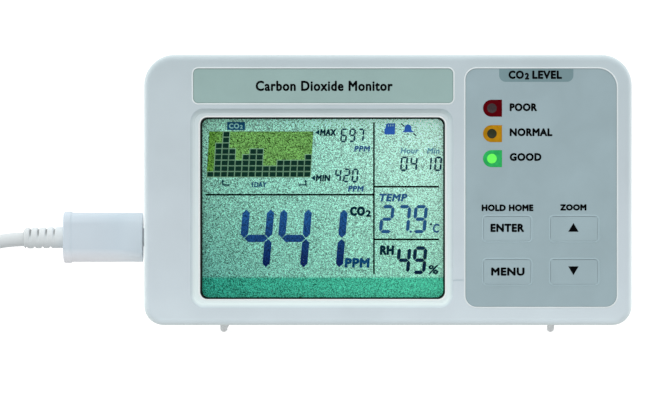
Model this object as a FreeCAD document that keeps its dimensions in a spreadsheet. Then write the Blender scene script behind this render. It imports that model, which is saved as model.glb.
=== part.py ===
import FreeCAD, Part
import Sketcher
import math
import os
import re

# Desktop carbon dioxide monitor: 121 x 67 mm case on two swivelling rod feet, display on the left,
# key panel on the right, USB lead in the left side. Millimetres, +Z up, front face towards -Y,
# origin on the table under the middle of the monitor.

V = FreeCAD.Vector

# Driving dimensions. Heights (z) are above the table, x is from midway between the feet.
DIMENSIONS = {
    # case
    "case_left": -60.85,
    "case_right": 60.35,
    "case_height": 67.2,
    "case_depth": 28.0,
    "case_floor": 1.95,  # height of the underside of the case
    "front_y": -22.5,  # front face of the case
    "front_depth": 18.0,  # depth of the front half, up to the parting line
    "front_wall": 2.4,
    "side_wall": 2.0,
    "top_corner": 7.6,
    "bottom_corner": 4.8,
    "edge_round": 1.6,
    # display opening
    "bezel_left": -49.3,
    "bezel_right": 15.9,
    "bezel_bottom": 6.3,
    "bezel_top": 55.7,
    "bezel_corner": 3.3,
    "bezel_depth": 1.2,
    "bezel_slope_angle": 42.0,
    "window_left": -46.95,
    "window_right": 13.95,
    "window_bottom": 8.4,
    "window_top": 53.6,
    "window_corner": 1.8,
    "gasket_show": 0.27,  # width of gasket seen inside the window opening
    "gasket_thick": 0.3,
    "lens_thick": 1.0,
    "lens_margin": 1.4,  # how far the lens runs past the window opening
    "glass_thick": 2.0,
    "glass_margin": 0.7,
    "guide_thick": 2.5,
    "frame_wall": 0.7,
    # title plate and key panel
    "title_left": -48.8,
    "title_right": 16.1,
    "title_bottom": 56.85,
    "title_top": 65.85,
    "title_corner": 1.4,
    "title_thick": 0.4,
    "panel_left": 18.75,
    "panel_right": 56.65,
    "panel_bottom": 6.35,
    "panel_top": 65.85,
    "panel_corner": 2.9,
    "panel_top_right_corner": 4.8,
    "panel_thick": 0.5,
    "inlay_sink": 0.1,  # inlays stand this far below the case face
    "inlay_gap": 0.05,
    # keys
    "key_width": 11.9,
    "key_height": 6.3,
    "key_corner": 0.8,
    "key_gap": 0.12,
    "key_left_x": 29.3,
    "key_right_x": 45.9,
    "key_upper_z": 25.9,
    "key_lower_z": 15.2,
    "key_flange_margin": 0.9,
    "key_flange_thick": 0.8,
    "key_stem_radius": 2.0,
    "plunger_radius": 1.7,
    "plunger_length": 2.0,
    "switch_size": 6.0,
    "switch_thick": 3.1,
    # indicator windows
    "indicator_x": 25.4,
    "indicator_poor_z": 55.8,
    "indicator_normal_z": 49.5,
    "indicator_good_z": 43.3,
    "indicator_radius": 2.1,
    "indicator_flat": 2.6,  # from the lamp axis to the straight edge
    "lamp_radius": 1.5,
    "lamp_length": 3.6,
    # boards
    "board_y": -12.5,  # front face of the main board
    "board_thick": 1.6,
    "board_margin": 0.5,  # gap between the board and the case walls
    "post_radius": 2.3,
    "boss_radius": 3.0,
    "boss_x": 54.3,
    "boss_low_z": 8.0,
    "boss_high_z": 62.6,
    "screw_radius": 1.1,
    "screw_head_radius": 2.1,
    "screw_head_thick": 1.3,
    # swivelling feet
    "foot_x": 40.5,
    "foot_y": -16.5,
    "foot_radius": 0.9,
    "foot_reach": 39.0,  # pin axis to leg tip
    "foot_pin_top": 6.65,
    "foot_bend": 1.05,
    "bush_radius": 2.0,
    "bush_top": 6.0,
    "pin_clearance": 0.05,
    # wall hooks and vents in the rear cover
    "hook_spacing": 76.0,
    "hook_z": 50.0,
    "hook_entry_radius": 4.0,
    "hook_slot_width": 4.0,
    "hook_slot_rise": 7.0,
    "vent_width": 1.6,
    "vent_height": 16.0,
    "vent_pitch": 4.0,
    # memory card
    "card_length": 32.0,
    "card_width": 24.0,
    "card_thick": 2.1,
    "card_z": 35.0,
    "card_clearance": 0.15,
    "card_recess": 0.4,  # outer end of the card behind the case side
    # USB plug in the left side
    "plug_y": -9.4,
    "plug_z": 23.6,
    "plug_front_x": -61.05,
    "plug_length": 19.9,
    "plug_width": 12.1,
    "plug_thick": 7.6,
    "plug_round": 1.6,
    "flare_length": 2.9,
    "flare_width": 13.0,
    "flare_thick": 8.4,
    "relief_length": 9.7,
    "relief_root_radius": 2.53,
    "relief_tip_radius": 2.3,
    "contact_shell_width": 6.85,
    "contact_shell_thick": 1.8,
    "contact_shell_length": 6.7,
    "shell_clearance": 0.08,
    # lead
    "cord_radius": 1.75,
    "coil_x": -142.0,
    "coil_mid_radius": 19.25,
    "coil_turns": 9.25,
    "coil_layers": 4.0,
    "tie_thick": 0.5,
    "tie_width": 6.0,
    "tie_slack": 1.0,
    # plug at the far end of the lead
    "far_body_length": 24.0,
    "far_body_width": 15.6,
    "far_body_thick": 7.8,
    "far_shell_length": 18.7,
    "far_shell_width": 12.0,
    "far_shell_thick": 4.5,
    "far_relief_length": 9.0,
}

# Centre line of the lead from the strain relief down to the table and to the coil.
LEAD_ROUTE = [
    V(-90.5, -9.4, 23.4),
    V(-98.5, -9.35, 22.9),
    V(-107.5, -9.2, 19.2),
    V(-115.5, -9.1, 11.8),
    V(-123.5, -9.2, 5.1),
    V(-132.0, -9.35, 2.5),
    V(-142.0, -9.4, 2.25),
]

# Centre line of the lead from the top layer of the coil, up and round to the plug lying across it.
TAIL_ROUTE = [
    V(-165.3, 13.9, 12.75),
    V(-162.6, 25.6, 13.3),
    V(-153.6, 33.4, 15.6),
    V(-141.0, 34.6, 17.0),
    V(-124.9, 33.9, 17.5),
    V(-119.0, 28.0, 17.8),
    V(-119.0, 19.8, 18.2),
    V(-124.9, 13.9, 18.45),
    V(-131.5, 13.9, 18.45),
]

doc = FreeCAD.newDocument("carbon_dioxide_monitor")
sheet = doc.addObject("Spreadsheet::Sheet", "dims")
for row, (name, size) in enumerate(DIMENSIONS.items(), 1):
    sheet.set(f"A{row}", name)
    sheet.set(f"B{row}", str(size))
    sheet.setAlias(f"B{row}", name)
doc.recompute()

parts = {}


def formula(text):
    """The expression with every dimension name pointed at the sheet."""
    return re.sub(r"[a-z_]+", lambda word: "dims." + word[0] if word[0] in DIMENSIONS else word[0], text)


def value(text):
    return float(sheet.evalExpression(formula(text)))


def bind(item, prop, text):
    item.setExpression(prop, formula(text))


def place(item, x, y, z):
    bind(item, "Placement.Base.x", x)
    bind(item, "Placement.Base.y", y)
    bind(item, "Placement.Base.z", z)
    return item


def keep(item, label):
    """Registers a finished sub-part under the name of its node."""
    item.Label = label
    parts[label] = item
    return item


# ---------------------------------------------------------------- solids from primitives


def block(size, x, y, z):
    """A box centred on x, y and z."""
    item = doc.addObject("Part::Box", "block")
    bind(item, "Length", size[0])
    bind(item, "Width", size[1])
    bind(item, "Height", size[2])
    return place(item, f"({x}) - ({size[0]}) / 2", f"({y}) - ({size[1]}) / 2", f"({z}) - ({size[2]}) / 2")


TURN_TO = {
    "+X": FreeCAD.Rotation(V(0, 1, 0), 90),
    "-X": FreeCAD.Rotation(V(0, 1, 0), -90),
    "+Y": FreeCAD.Rotation(V(1, 0, 0), -90),
    "-Y": FreeCAD.Rotation(V(1, 0, 0), 90),
    "+Z": FreeCAD.Rotation(),
}


def rod(radius, length, direction, x, y, z):
    """A cylinder that starts at x, y, z and runs along the direction."""
    item = doc.addObject("Part::Cylinder", "rod")
    bind(item, "Radius", radius)
    bind(item, "Height", length)
    item.Placement = FreeCAD.Placement(V(), TURN_TO[direction])
    return place(item, x, y, z)


def cone(start_radius, end_radius, length, direction, x, y, z):
    item = doc.addObject("Part::Cone", "cone")
    bind(item, "Radius1", start_radius)
    bind(item, "Radius2", end_radius)
    bind(item, "Height", length)
    item.Placement = FreeCAD.Placement(V(), TURN_TO[direction])
    return place(item, x, y, z)


def ball(radius, x, y, z):
    item = doc.addObject("Part::Sphere", "ball")
    bind(item, "Radius", radius)
    return place(item, x, y, z)


def fuse(pieces):
    item = doc.addObject("Part::MultiFuse", "fuse")
    item.Shapes = pieces
    return item


def group(pieces):
    """Identical pieces that share one node."""
    item = doc.addObject("Part::Compound", "group")
    item.Links = pieces
    return item


def cut(base, tools):
    item = doc.addObject("Part::Cut", "cut")
    item.Base = base
    item.Tool = tools[0] if len(tools) == 1 else fuse(tools)
    return item


def round_edges(base, radius, wanted):
    """Rounds the edges of a solid for which wanted(edge) is true."""
    doc.recompute()
    item = doc.addObject("Part::Fillet", "round")
    item.Base = base
    size = value(radius)
    numbers = [i for i, edge in enumerate(base.Shape.Edges, 1) if wanted(edge)]
    item.Edges = [(i, size, size) for i in numbers]
    return item


def along(axis):
    """Picks the straight edges that run along an axis."""

    def wanted(edge):
        if len(edge.Vertexes) < 2:
            return False
        span = edge.Vertexes[1].Point - edge.Vertexes[0].Point
        return abs(abs(span.dot(axis)) - span.Length) < 1e-6

    return wanted


# ---------------------------------------------------------------- sketched bodies


def new_body(name):
    return doc.addObject("PartDesign::Body", name)


def sketch_on(body, role, offset="0"):
    """A sketch on one of the body's own origin planes, moved along the plane's normal."""
    plane = next(item for item in body.Origin.OriginFeatures if item.Role == role)
    sketch = body.newObject("Sketcher::SketchObject", "sketch")
    sketch.AttachmentSupport = (plane, "")
    sketch.MapMode = "FlatFace"
    bind(sketch, "AttachmentOffset.Base.z", offset)
    return sketch


def front_sketch(body, y):
    """A sketch facing the front at depth y: across is +X, up is +Z, and the normal is -Y."""
    return sketch_on(body, "XZ_Plane", f"-({y})")


def dimension(sketch, constraint, text):
    index = sketch.addConstraint(constraint)
    bind(sketch, f"Constraints[{index}]", text)


def rounded_rectangle(sketch, left, right, bottom, top, corners):
    """Corner radii are in the order bottom left, bottom right, top right, top left."""
    x0, x1, y0, y1 = value(left), value(right), value(bottom), value(top)
    radii = [value(corner) for corner in corners]
    centres = [
        V(x0 + radii[0], y0 + radii[0], 0),
        V(x1 - radii[1], y0 + radii[1], 0),
        V(x1 - radii[2], y1 - radii[2], 0),
        V(x0 + radii[3], y1 - radii[3], 0),
    ]
    arcs = []
    for i in range(4):
        circle = Part.Circle(centres[i], V(0, 0, 1), radii[i])
        start = math.pi + i * math.pi / 2
        arcs.append(Part.ArcOfCircle(circle, start, start + math.pi / 2))
    first = sketch.GeometryCount
    for i in range(4):
        sketch.addGeometry(arcs[i])
        ends = arcs[i].EndPoint, arcs[(i + 1) % 4].StartPoint
        sketch.addGeometry(Part.LineSegment(*ends))
    for i in range(8):
        sketch.addConstraint(Sketcher.Constraint("Tangent", first + i, 2, first + (i + 1) % 8, 1))
    for i, kind in enumerate(("Horizontal", "Vertical", "Horizontal", "Vertical")):
        sketch.addConstraint(Sketcher.Constraint(kind, first + 2 * i + 1))
    for i in range(4):
        dimension(sketch, Sketcher.Constraint("Radius", first + 2 * i, radii[i]), corners[i])
    dimension(sketch, Sketcher.Constraint("DistanceY", -1, 1, first + 1, 1, y0), bottom)
    dimension(sketch, Sketcher.Constraint("DistanceX", -1, 1, first + 3, 1, x1), right)
    dimension(sketch, Sketcher.Constraint("DistanceY", -1, 1, first + 5, 1, y1), top)
    dimension(sketch, Sketcher.Constraint("DistanceX", -1, 1, first + 7, 1, x0), left)


def circle(sketch, x, y, radius):
    centre = V(value(x), value(y), 0)
    index = sketch.addGeometry(Part.Circle(centre, V(0, 0, 1), value(radius)))
    dimension(sketch, Sketcher.Constraint("Radius", index, value(radius)), radius)
    dimension(sketch, Sketcher.Constraint("DistanceX", -1, 1, index, 3, centre.x), x)
    dimension(sketch, Sketcher.Constraint("DistanceY", -1, 1, index, 3, centre.y), y)


def d_shape(sketch, x, y, radius, flat):
    """Half round on the left, straight edge at x + flat on the right."""
    cx, cy, r, right = value(x), value(y), value(radius), value(f"({x}) + ({flat})")
    round_side = Part.Circle(V(cx, cy, 0), V(0, 0, 1), r)
    corners = [V(cx, cy - r, 0), V(right, cy - r, 0), V(right, cy + r, 0), V(cx, cy + r, 0)]
    first = sketch.addGeometry(Part.ArcOfCircle(round_side, math.pi / 2, 3 * math.pi / 2))
    for i in range(3):
        sketch.addGeometry(Part.LineSegment(corners[i], corners[i + 1]))
    sketch.addConstraint(Sketcher.Constraint("Tangent", first, 2, first + 1, 1))
    sketch.addConstraint(Sketcher.Constraint("Coincident", first + 1, 2, first + 2, 1))
    sketch.addConstraint(Sketcher.Constraint("Coincident", first + 2, 2, first + 3, 1))
    sketch.addConstraint(Sketcher.Constraint("Tangent", first + 3, 2, first, 1))
    for i, kind in enumerate(("Horizontal", "Vertical", "Horizontal"), 1):
        sketch.addConstraint(Sketcher.Constraint(kind, first + i))
    dimension(sketch, Sketcher.Constraint("Radius", first, r), radius)
    dimension(sketch, Sketcher.Constraint("DistanceX", -1, 1, first, 3, cx), x)
    dimension(sketch, Sketcher.Constraint("DistanceY", -1, 1, first, 3, cy), y)
    dimension(sketch, Sketcher.Constraint("DistanceX", -1, 1, first + 2, 1, right), f"({x}) + ({flat})")


def pad(body, sketch, length, backwards=True):
    """Backwards pads run against the sketch normal, so front sketches grow towards the rear."""
    feature = body.newObject("PartDesign::Pad", "pad")
    feature.Profile = sketch
    bind(feature, "Length", length)
    feature.Reversed = backwards
    return feature


def pocket(body, sketch, length, taper=None, forwards=False):
    """Pockets run against the sketch normal unless they go forwards; the volume must drop."""
    doc.recompute()
    before = body.Shape.Volume
    feature = body.newObject("PartDesign::Pocket", "pocket")
    feature.Profile = sketch
    feature.Reversed = forwards
    bind(feature, "Length", length)
    if taper:
        bind(feature, "TaperAngle", taper)
    doc.recompute()
    if not body.Shape.Volume < before - 1e-3:
        raise RuntimeError(f"{body.Name}: a pocket cut nothing")
    return feature


def fillet(body, radius, wanted):
    doc.recompute()
    base = body.Tip
    numbers = [i for i, edge in enumerate(base.Shape.Edges, 1) if wanted(edge)]
    feature = body.newObject("PartDesign::Fillet", "fillet")
    feature.Base = (base, [f"Edge{i}" for i in numbers])
    bind(feature, "Radius", radius)
    return feature


def at_depth(y):
    """Picks the edges that lie wholly in the plane at depth y."""
    plane = value(y)
    return lambda edge: abs(edge.BoundBox.YMin - plane) < 1e-4 and abs(edge.BoundBox.YMax - plane) < 1e-4



def plate(label, left, right, bottom, top, corners, y, thick):
    """A flat piece with rounded corners, its front face at depth y."""
    body = new_body(label)
    sketch = front_sketch(body, y)
    rounded_rectangle(sketch, left, right, bottom, top, corners)
    pad(body, sketch, thick)
    return body


# ---------------------------------------------------------------- shared places

BACK_Y = "(front_y + case_depth)"
PARTING_Y = "(front_y + front_depth)"
WALL_Y = "(front_y + front_wall)"
CASE_TOP = "(case_floor + case_height)"
BOARD_BACK = "(board_y + board_thick)"
OUTER_CORNERS = ["bottom_corner", "bottom_corner", "top_corner", "top_corner"]
INNER_CORNERS = [f"{corner} - side_wall" for corner in OUTER_CORNERS]
WINDOW_MIDDLE_X = "((window_left + window_right) / 2)"
WINDOW_MIDDLE_Z = "((window_bottom + window_top) / 2)"
WINDOW_WIDE = "(window_right - window_left)"
WINDOW_HIGH = "(window_top - window_bottom)"
KEYS = {
    "enter": ("key_left_x", "key_upper_z"),
    "menu": ("key_left_x", "key_lower_z"),
    "up": ("key_right_x", "key_upper_z"),
    "down": ("key_right_x", "key_lower_z"),
}
INDICATORS = {
    "poor": "indicator_poor_z",
    "normal": "indicator_normal_z",
    "good": "indicator_good_z",
}
BOSSES = [(x, z) for x in ("-boss_x", "boss_x") for z in ("boss_low_z", "boss_high_z")]
POSTS = [("-53.5", "44"), ("54.6", "53.4"), ("-16", "61.2"), ("19.6", "9.2")]
CARD_Y = f"({BOARD_BACK} + 0.6 + card_thick / 2)"
VENT_COLUMNS = [-2.5, -1.5, -0.5, 0.5, 1.5, 2.5]
VENT_ROWS = ["9", "30"]


def outline(sketch, shrink, corners):
    """The outline of the case, moved inwards by shrink."""
    rounded_rectangle(
        sketch,
        f"case_left + {shrink}",
        f"case_right - {shrink}",
        f"case_floor + {shrink}",
        f"{CASE_TOP} - {shrink}",
        corners,
    )


def key_outline(x, z, margin):
    across = f"(key_width / 2 + {margin})"
    up = f"(key_height / 2 + {margin})"
    return f"{x} - {across}", f"{x} + {across}", f"{z} - {up}", f"{z} + {up}"


def side_opening(y, z, thick, high):
    return f"{y} - ({thick}) / 2", f"{y} + ({thick}) / 2", f"{z} - ({high}) / 2", f"{z} + ({high}) / 2"


# ---------------------------------------------------------------- case


def make_front_case():
    """Front half: hollow shell with display and inlay recesses, key holes, bosses and seats for bushes."""
    body = new_body("front_case")
    outer = front_sketch(body, "front_y")
    outline(outer, "0", OUTER_CORNERS)
    pad(body, outer, "front_depth")
    fillet(body, "edge_round", at_depth("front_y"))
    inner = front_sketch(body, WALL_Y)
    outline(inner, "side_wall", INNER_CORNERS)
    pocket(body, inner, "front_depth")

    bezel = front_sketch(body, "front_y")
    rounded_rectangle(bezel, "bezel_left", "bezel_right", "bezel_bottom", "bezel_top", ["bezel_corner"] * 4)
    pocket(body, bezel, "bezel_depth", "-bezel_slope_angle")
    window = front_sketch(body, "front_y")
    window_sides = "window_left", "window_right", "window_bottom", "window_top"
    rounded_rectangle(window, *window_sides, ["window_corner"] * 4)
    pocket(body, window, "front_wall + 1")

    title = front_sketch(body, "front_y")
    rounded_rectangle(title, "title_left", "title_right", "title_bottom", "title_top", ["title_corner"] * 4)
    pocket(body, title, "title_thick + inlay_sink")
    panel = front_sketch(body, "front_y")
    panel_corners = ["panel_corner", "panel_corner", "panel_top_right_corner", "panel_corner"]
    rounded_rectangle(panel, "panel_left", "panel_right", "panel_bottom", "panel_top", panel_corners)
    pocket(body, panel, "panel_thick + inlay_sink")
    # a short level groove joins the display recess and the key panel
    groove = front_sketch(body, "front_y")
    rounded_rectangle(groove, "bezel_right - 0.4", "panel_left + 0.4", "13", "13.3", ["0.1"] * 4)
    pocket(body, groove, "0.25")

    for x, z in KEYS.values():
        hole = front_sketch(body, "front_y")
        rounded_rectangle(hole, *key_outline(x, z, "key_gap"), ["key_corner + key_gap"] * 4)
        pocket(body, hole, "front_wall + 1")
    for z in INDICATORS.values():
        hole = front_sketch(body, "front_y")
        d_shape(hole, "indicator_x", z, "indicator_radius + 0.02", "indicator_flat + 0.02")
        pocket(body, hole, "front_wall + 1")

    for x, z in BOSSES:
        boss = front_sketch(body, f"{WALL_Y} - 0.5")
        circle(boss, x, z, "boss_radius")
        pad(body, boss, f"{PARTING_Y} - {WALL_Y} + 0.5")
        pilot = front_sketch(body, f"{PARTING_Y} - 10")
        circle(pilot, x, z, "screw_radius")
        pocket(body, pilot, "11")
    for x, z in POSTS:
        post = front_sketch(body, f"{WALL_Y} - 0.5")
        circle(post, x, z, "post_radius")
        pad(body, post, f"board_y - {WALL_Y} + 0.5")
        pilot = front_sketch(body, "board_y - 5")
        circle(pilot, x, z, "screw_radius")
        pocket(body, pilot, "6")

    # seats for the two foot bushes in the floor of the case
    for x in ("-foot_x", "foot_x"):
        seat = sketch_on(body, "XY_Plane", "case_floor + side_wall - 0.5")
        circle(seat, x, "foot_y", "bush_radius + 1.1")
        pad(body, seat, "bush_top - case_floor - side_wall + 0.5", backwards=False)
        bore = sketch_on(body, "XY_Plane", "bush_top + 1")
        circle(bore, x, "foot_y", "bush_radius")
        pocket(body, bore, "bush_top - case_floor + 2")

    # mouth of the USB socket in the left side and of the card slot in the right side
    mouth = sketch_on(body, "YZ_Plane", "case_left + side_wall + 1")
    mouth_sides = side_opening("plug_y", "plug_z", "contact_shell_thick + 1.4", "contact_shell_width + 1.4")
    rounded_rectangle(mouth, *mouth_sides, ["0.6"] * 4)
    pocket(body, mouth, "side_wall + 2")
    slot = sketch_on(body, "YZ_Plane", "case_right + 1")
    slot_size = "card_thick + 2 * card_clearance", "card_width + 2 * card_clearance"
    slot_sides = side_opening(CARD_Y, "card_z", *slot_size)
    rounded_rectangle(slot, *slot_sides, ["0.3"] * 4)
    pocket(body, slot, "side_wall + 2")
    keep(body, "front_case")


def make_rear_cover():
    """Rear half: shallow tray with vents, two wall hooks and four screw wells."""
    body = new_body("rear_cover")
    outer = front_sketch(body, PARTING_Y)
    outline(outer, "0", OUTER_CORNERS)
    pad(body, outer, "case_depth - front_depth")
    fillet(body, "edge_round", at_depth(BACK_Y))
    inner = front_sketch(body, f"{BACK_Y} - side_wall")
    outline(inner, "side_wall", INNER_CORNERS)
    pocket(body, inner, "case_depth - front_depth", forwards=True)

    for x, z in BOSSES:
        tube = front_sketch(body, PARTING_Y)
        circle(tube, x, z, "boss_radius")
        pad(body, tube, f"{BACK_Y} - {PARTING_Y} - 1")
        well = front_sketch(body, f"{PARTING_Y} + 2.4")
        circle(well, x, z, "screw_head_radius + 0.15")
        pocket(body, well, "case_depth")
        through = front_sketch(body, f"{PARTING_Y} - 1")
        circle(through, x, z, "screw_radius + 0.2")
        pocket(body, through, "6")

    for x in ("-hook_spacing / 2", "hook_spacing / 2"):
        entry = front_sketch(body, f"{BACK_Y} - side_wall - 1")
        circle(entry, x, "hook_z", "hook_entry_radius")
        pocket(body, entry, "side_wall + 2")
        slot = front_sketch(body, f"{BACK_Y} - side_wall - 1")
        half = "hook_slot_width / 2"
        sides = f"{x} - {half}", f"{x} + {half}", "hook_z - 1", f"hook_z + hook_slot_rise + {half}"
        rounded_rectangle(slot, *sides, ["0.5", "0.5", f"{half} - 0.01", f"{half} - 0.01"])
        pocket(body, slot, "side_wall + 2")

    for column in VENT_COLUMNS:
        for bottom in VENT_ROWS:
            vent = front_sketch(body, f"{BACK_Y} - side_wall - 1")
            middle = f"{column} * vent_pitch"
            across = f"{middle} - vent_width / 2", f"{middle} + vent_width / 2"
            sides = *across, bottom, f"{bottom} + vent_height"
            rounded_rectangle(vent, *sides, ["vent_width / 2 - 0.01"] * 4)
            pocket(body, vent, "side_wall + 2")
    keep(body, "rear_cover")


def make_screws():
    """Four case screws from the rear and four board screws share one node each."""
    case_screws = []
    for x, z in BOSSES:
        seat = f"{PARTING_Y} + 2.4"
        head = rod("screw_head_radius", "screw_head_thick", "+Y", x, seat, z)
        shank = rod("screw_radius - 0.02", "11", "+Y", x, f"{seat} - 11", z)
        cross = [block(("2.2", "0.6", "0.5"), x, f"{seat} + screw_head_thick", z)]
        cross.append(block(("0.5", "0.6", "2.2"), x, f"{seat} + screw_head_thick", z))
        case_screws.append(cut(fuse([head, shank]), cross))
    keep(group(case_screws), "case_screws")
    board_screws = []
    for x, z in POSTS:
        head = rod("screw_head_radius", "screw_head_thick", "+Y", x, BOARD_BACK, z)
        shank = rod("screw_radius - 0.02", "6", "+Y", x, f"{BOARD_BACK} - 6", z)
        board_screws.append(fuse([head, shank]))
    keep(group(board_screws), "board_screws")


# ---------------------------------------------------------------- inlays and display


def make_inlays():
    gap = "inlay_gap"
    face = "front_y + inlay_sink"
    title = plate(
        "title_plate",
        f"title_left + {gap}",
        f"title_right - {gap}",
        f"title_bottom + {gap}",
        f"title_top - {gap}",
        [f"title_corner - {gap}"] * 4,
        face,
        "title_thick",
    )
    keep(title, "title_plate")
    corners = ["panel_corner", "panel_corner", "panel_top_right_corner", "panel_corner"]
    panel = plate(
        "keypad_panel",
        f"panel_left + {gap}",
        f"panel_right - {gap}",
        f"panel_bottom + {gap}",
        f"panel_top - {gap}",
        [f"{corner} - {gap}" for corner in corners],
        face,
        "panel_thick",
    )
    for x, z in KEYS.values():
        hole = front_sketch(panel, "front_y")
        rounded_rectangle(hole, *key_outline(x, z, "0"), ["key_corner"] * 4)
        pocket(panel, hole, "panel_thick + 1")
    for z in INDICATORS.values():
        hole = front_sketch(panel, "front_y")
        d_shape(hole, "indicator_x", z, "indicator_radius + 0.02", "indicator_flat + 0.02")
        pocket(panel, hole, "panel_thick + 1")
    keep(panel, "keypad_panel")


def make_display():
    """Gasket, lens, glass panel, frame, light guide and connector strips, from the front to the board."""
    lens_sides = [
        "window_left - lens_margin",
        "window_right + lens_margin",
        "window_bottom - 1",
        "window_top + lens_margin",
    ]
    gasket = plate("display_gasket", *lens_sides, ["window_corner"] * 4, WALL_Y, "gasket_thick")
    opening = front_sketch(gasket, "front_y")
    shown = [
        "window_left + gasket_show",
        "window_right - gasket_show",
        "window_bottom + gasket_show",
        "window_top - gasket_show",
    ]
    rounded_rectangle(opening, *shown, ["window_corner - gasket_show"] * 4)
    pocket(gasket, opening, "front_wall + 2")
    keep(gasket, "display_gasket")

    lens_y = f"{WALL_Y} + gasket_thick"
    keep(plate("display_lens", *lens_sides, ["window_corner"] * 4, lens_y, "lens_thick"), "display_lens")

    glass_y = f"({lens_y} + lens_thick + 0.3)"
    glass_size = (f"{WINDOW_WIDE} + 2 * glass_margin", "glass_thick", f"{WINDOW_HIGH} + 2 * glass_margin")
    glass = block(glass_size, WINDOW_MIDDLE_X, f"{glass_y} + glass_thick / 2", WINDOW_MIDDLE_Z)
    keep(glass, "lcd_panel")

    frame_y = f"({glass_y} - 0.2)"
    frame_deep = f"board_y - {frame_y}"
    wall = "2 * (glass_margin + frame_wall + 0.1)"
    frame_size = (f"{WINDOW_WIDE} + {wall}", frame_deep, f"{WINDOW_HIGH} + {wall} - 0.2")
    space = "2 * (glass_margin + 0.1)"
    space_size = (f"{WINDOW_WIDE} + {space}", f"{frame_deep} + 2", f"{WINDOW_HIGH} + {space}")
    middle = (WINDOW_MIDDLE_X, f"{frame_y} + ({frame_deep}) / 2", WINDOW_MIDDLE_Z)
    keep(cut(block(frame_size, *middle), [block(space_size, *middle)]), "lcd_frame")

    guide_y = f"({glass_y} + glass_thick + 0.1)"
    guide_size = (f"{WINDOW_WIDE} - 2", "guide_thick", f"{WINDOW_HIGH} - 3")
    guide = block(guide_size, WINDOW_MIDDLE_X, f"{guide_y} + guide_thick / 2", WINDOW_MIDDLE_Z)
    keep(guide, "light_guide")

    strips = []
    strip_deep = f"board_y - {glass_y} - glass_thick"
    for side in (-1, 1):
        strip_z = f"{WINDOW_MIDDLE_Z} + {side} * ({WINDOW_HIGH} / 2 - 0.5)"
        strip_y = f"board_y - ({strip_deep}) / 2"
        strips.append(block((f"{WINDOW_WIDE} - 6", strip_deep, "1"), WINDOW_MIDDLE_X, strip_y, strip_z))
    keep(group(strips), "lcd_connector")


def make_indicators():
    """Three coloured windows, their lamps and the shield that keeps their light apart."""
    face = "front_y + inlay_sink"
    for name, z in INDICATORS.items():
        window = new_body(f"indicator_window_{name}")
        sketch = front_sketch(window, face)
        d_shape(sketch, "indicator_x", z, "indicator_radius", "indicator_flat")
        pad(window, sketch, f"{WALL_Y} - ({face})")
        keep(window, f"indicator_window_{name}")
        lamp_front = "board_y - lamp_length + lamp_radius"
        stem = rod("lamp_radius", f"board_y - ({lamp_front})", "+Y", "indicator_x", lamp_front, z)
        dome = ball("lamp_radius", "indicator_x", lamp_front, z)
        keep(fuse([stem, dome]), f"indicator_lamp_{name}")
    shield_y = f"{WALL_Y} + 0.05"
    shield_deep = f"(board_y - ({shield_y}))"
    middle_z = "(indicator_poor_z + indicator_good_z) / 2"
    size = ("6.2", shield_deep, "indicator_poor_z - indicator_good_z + 5.6")
    shield = block(size, "indicator_x", f"{shield_y} + {shield_deep} / 2", middle_z)
    wells = [
        rod("lamp_radius + 0.15", f"{shield_deep} + 2", "+Y", "indicator_x", f"{shield_y} - 1", z)
        for z in INDICATORS.values()
    ]
    keep(cut(shield, wells), "indicator_shield")


# ---------------------------------------------------------------- keys


def make_keys():
    """Each key is a cap with a flange behind the wall and a stem; its switch plunger moves with it."""
    face = "front_y + inlay_sink"
    flange_y = f"({WALL_Y} + 0.05)"
    stem_y = f"({flange_y} + key_flange_thick)"
    plunger_y = "(board_y - switch_thick - plunger_length / 2)"
    bodies = []
    for name, (x, z) in KEYS.items():
        key = new_body(f"key_{name}")
        cap = front_sketch(key, face)
        rounded_rectangle(cap, *key_outline(x, z, "-key_gap"), ["key_corner - key_gap"] * 4)
        pad(key, cap, f"{flange_y} - ({face})")
        flange = front_sketch(key, flange_y)
        rounded_rectangle(flange, *key_outline(x, z, "key_flange_margin"), ["key_corner"] * 4)
        pad(key, flange, "key_flange_thick")
        stem = front_sketch(key, stem_y)
        circle(stem, x, z, "key_stem_radius")
        pad(key, stem, f"{plunger_y} - {stem_y}")
        keep(key, f"key_{name}")
        plunger = rod("plunger_radius", "plunger_length", "+Y", x, plunger_y, z)
        keep(plunger, f"switch_plunger_{name}")
        switch_y = "board_y - switch_thick / 2"
        housing = block(("switch_size", "switch_thick", "switch_size"), x, switch_y, z)
        well = rod("plunger_radius + 0.08", "2", "+Y", x, "board_y - switch_thick - 0.1", z)
        bodies.append(cut(housing, [well]))
    keep(group(bodies), "key_switches")


# ---------------------------------------------------------------- electronics


def make_board():
    """Main board with its corners cut away round the case bosses."""
    high = "(case_height - 2 * side_wall - 2 * board_margin)"
    wide = "(case_right - case_left - 2 * side_wall - 2 * board_margin)"
    middle = ("(case_left + case_right) / 2", "board_y + board_thick / 2", "case_floor + case_height / 2")
    board = block((wide, "board_thick", high), *middle)
    notches = [
        block(("8.4", "4", "8.4"), f"{x} * 1.02", middle[1], f"{z} {sign} 0.6")
        for x, z, sign in (
            ("-boss_x", "boss_low_z", "-"),
            ("boss_x", "boss_low_z", "-"),
            ("-boss_x", "boss_high_z", "+"),
            ("boss_x", "boss_high_z", "+"),
        )
    ]
    holes = [rod("screw_radius", "4", "+Y", x, "board_y - 1", z) for x, z in POSTS]
    keep(cut(board, notches + holes), "main_board")


def on_board(size, x, z, lift="0"):
    """A box standing on the rear face of the board."""
    return block(size, x, f"{BOARD_BACK} + {lift} + ({size[1]}) / 2", z)


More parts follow.
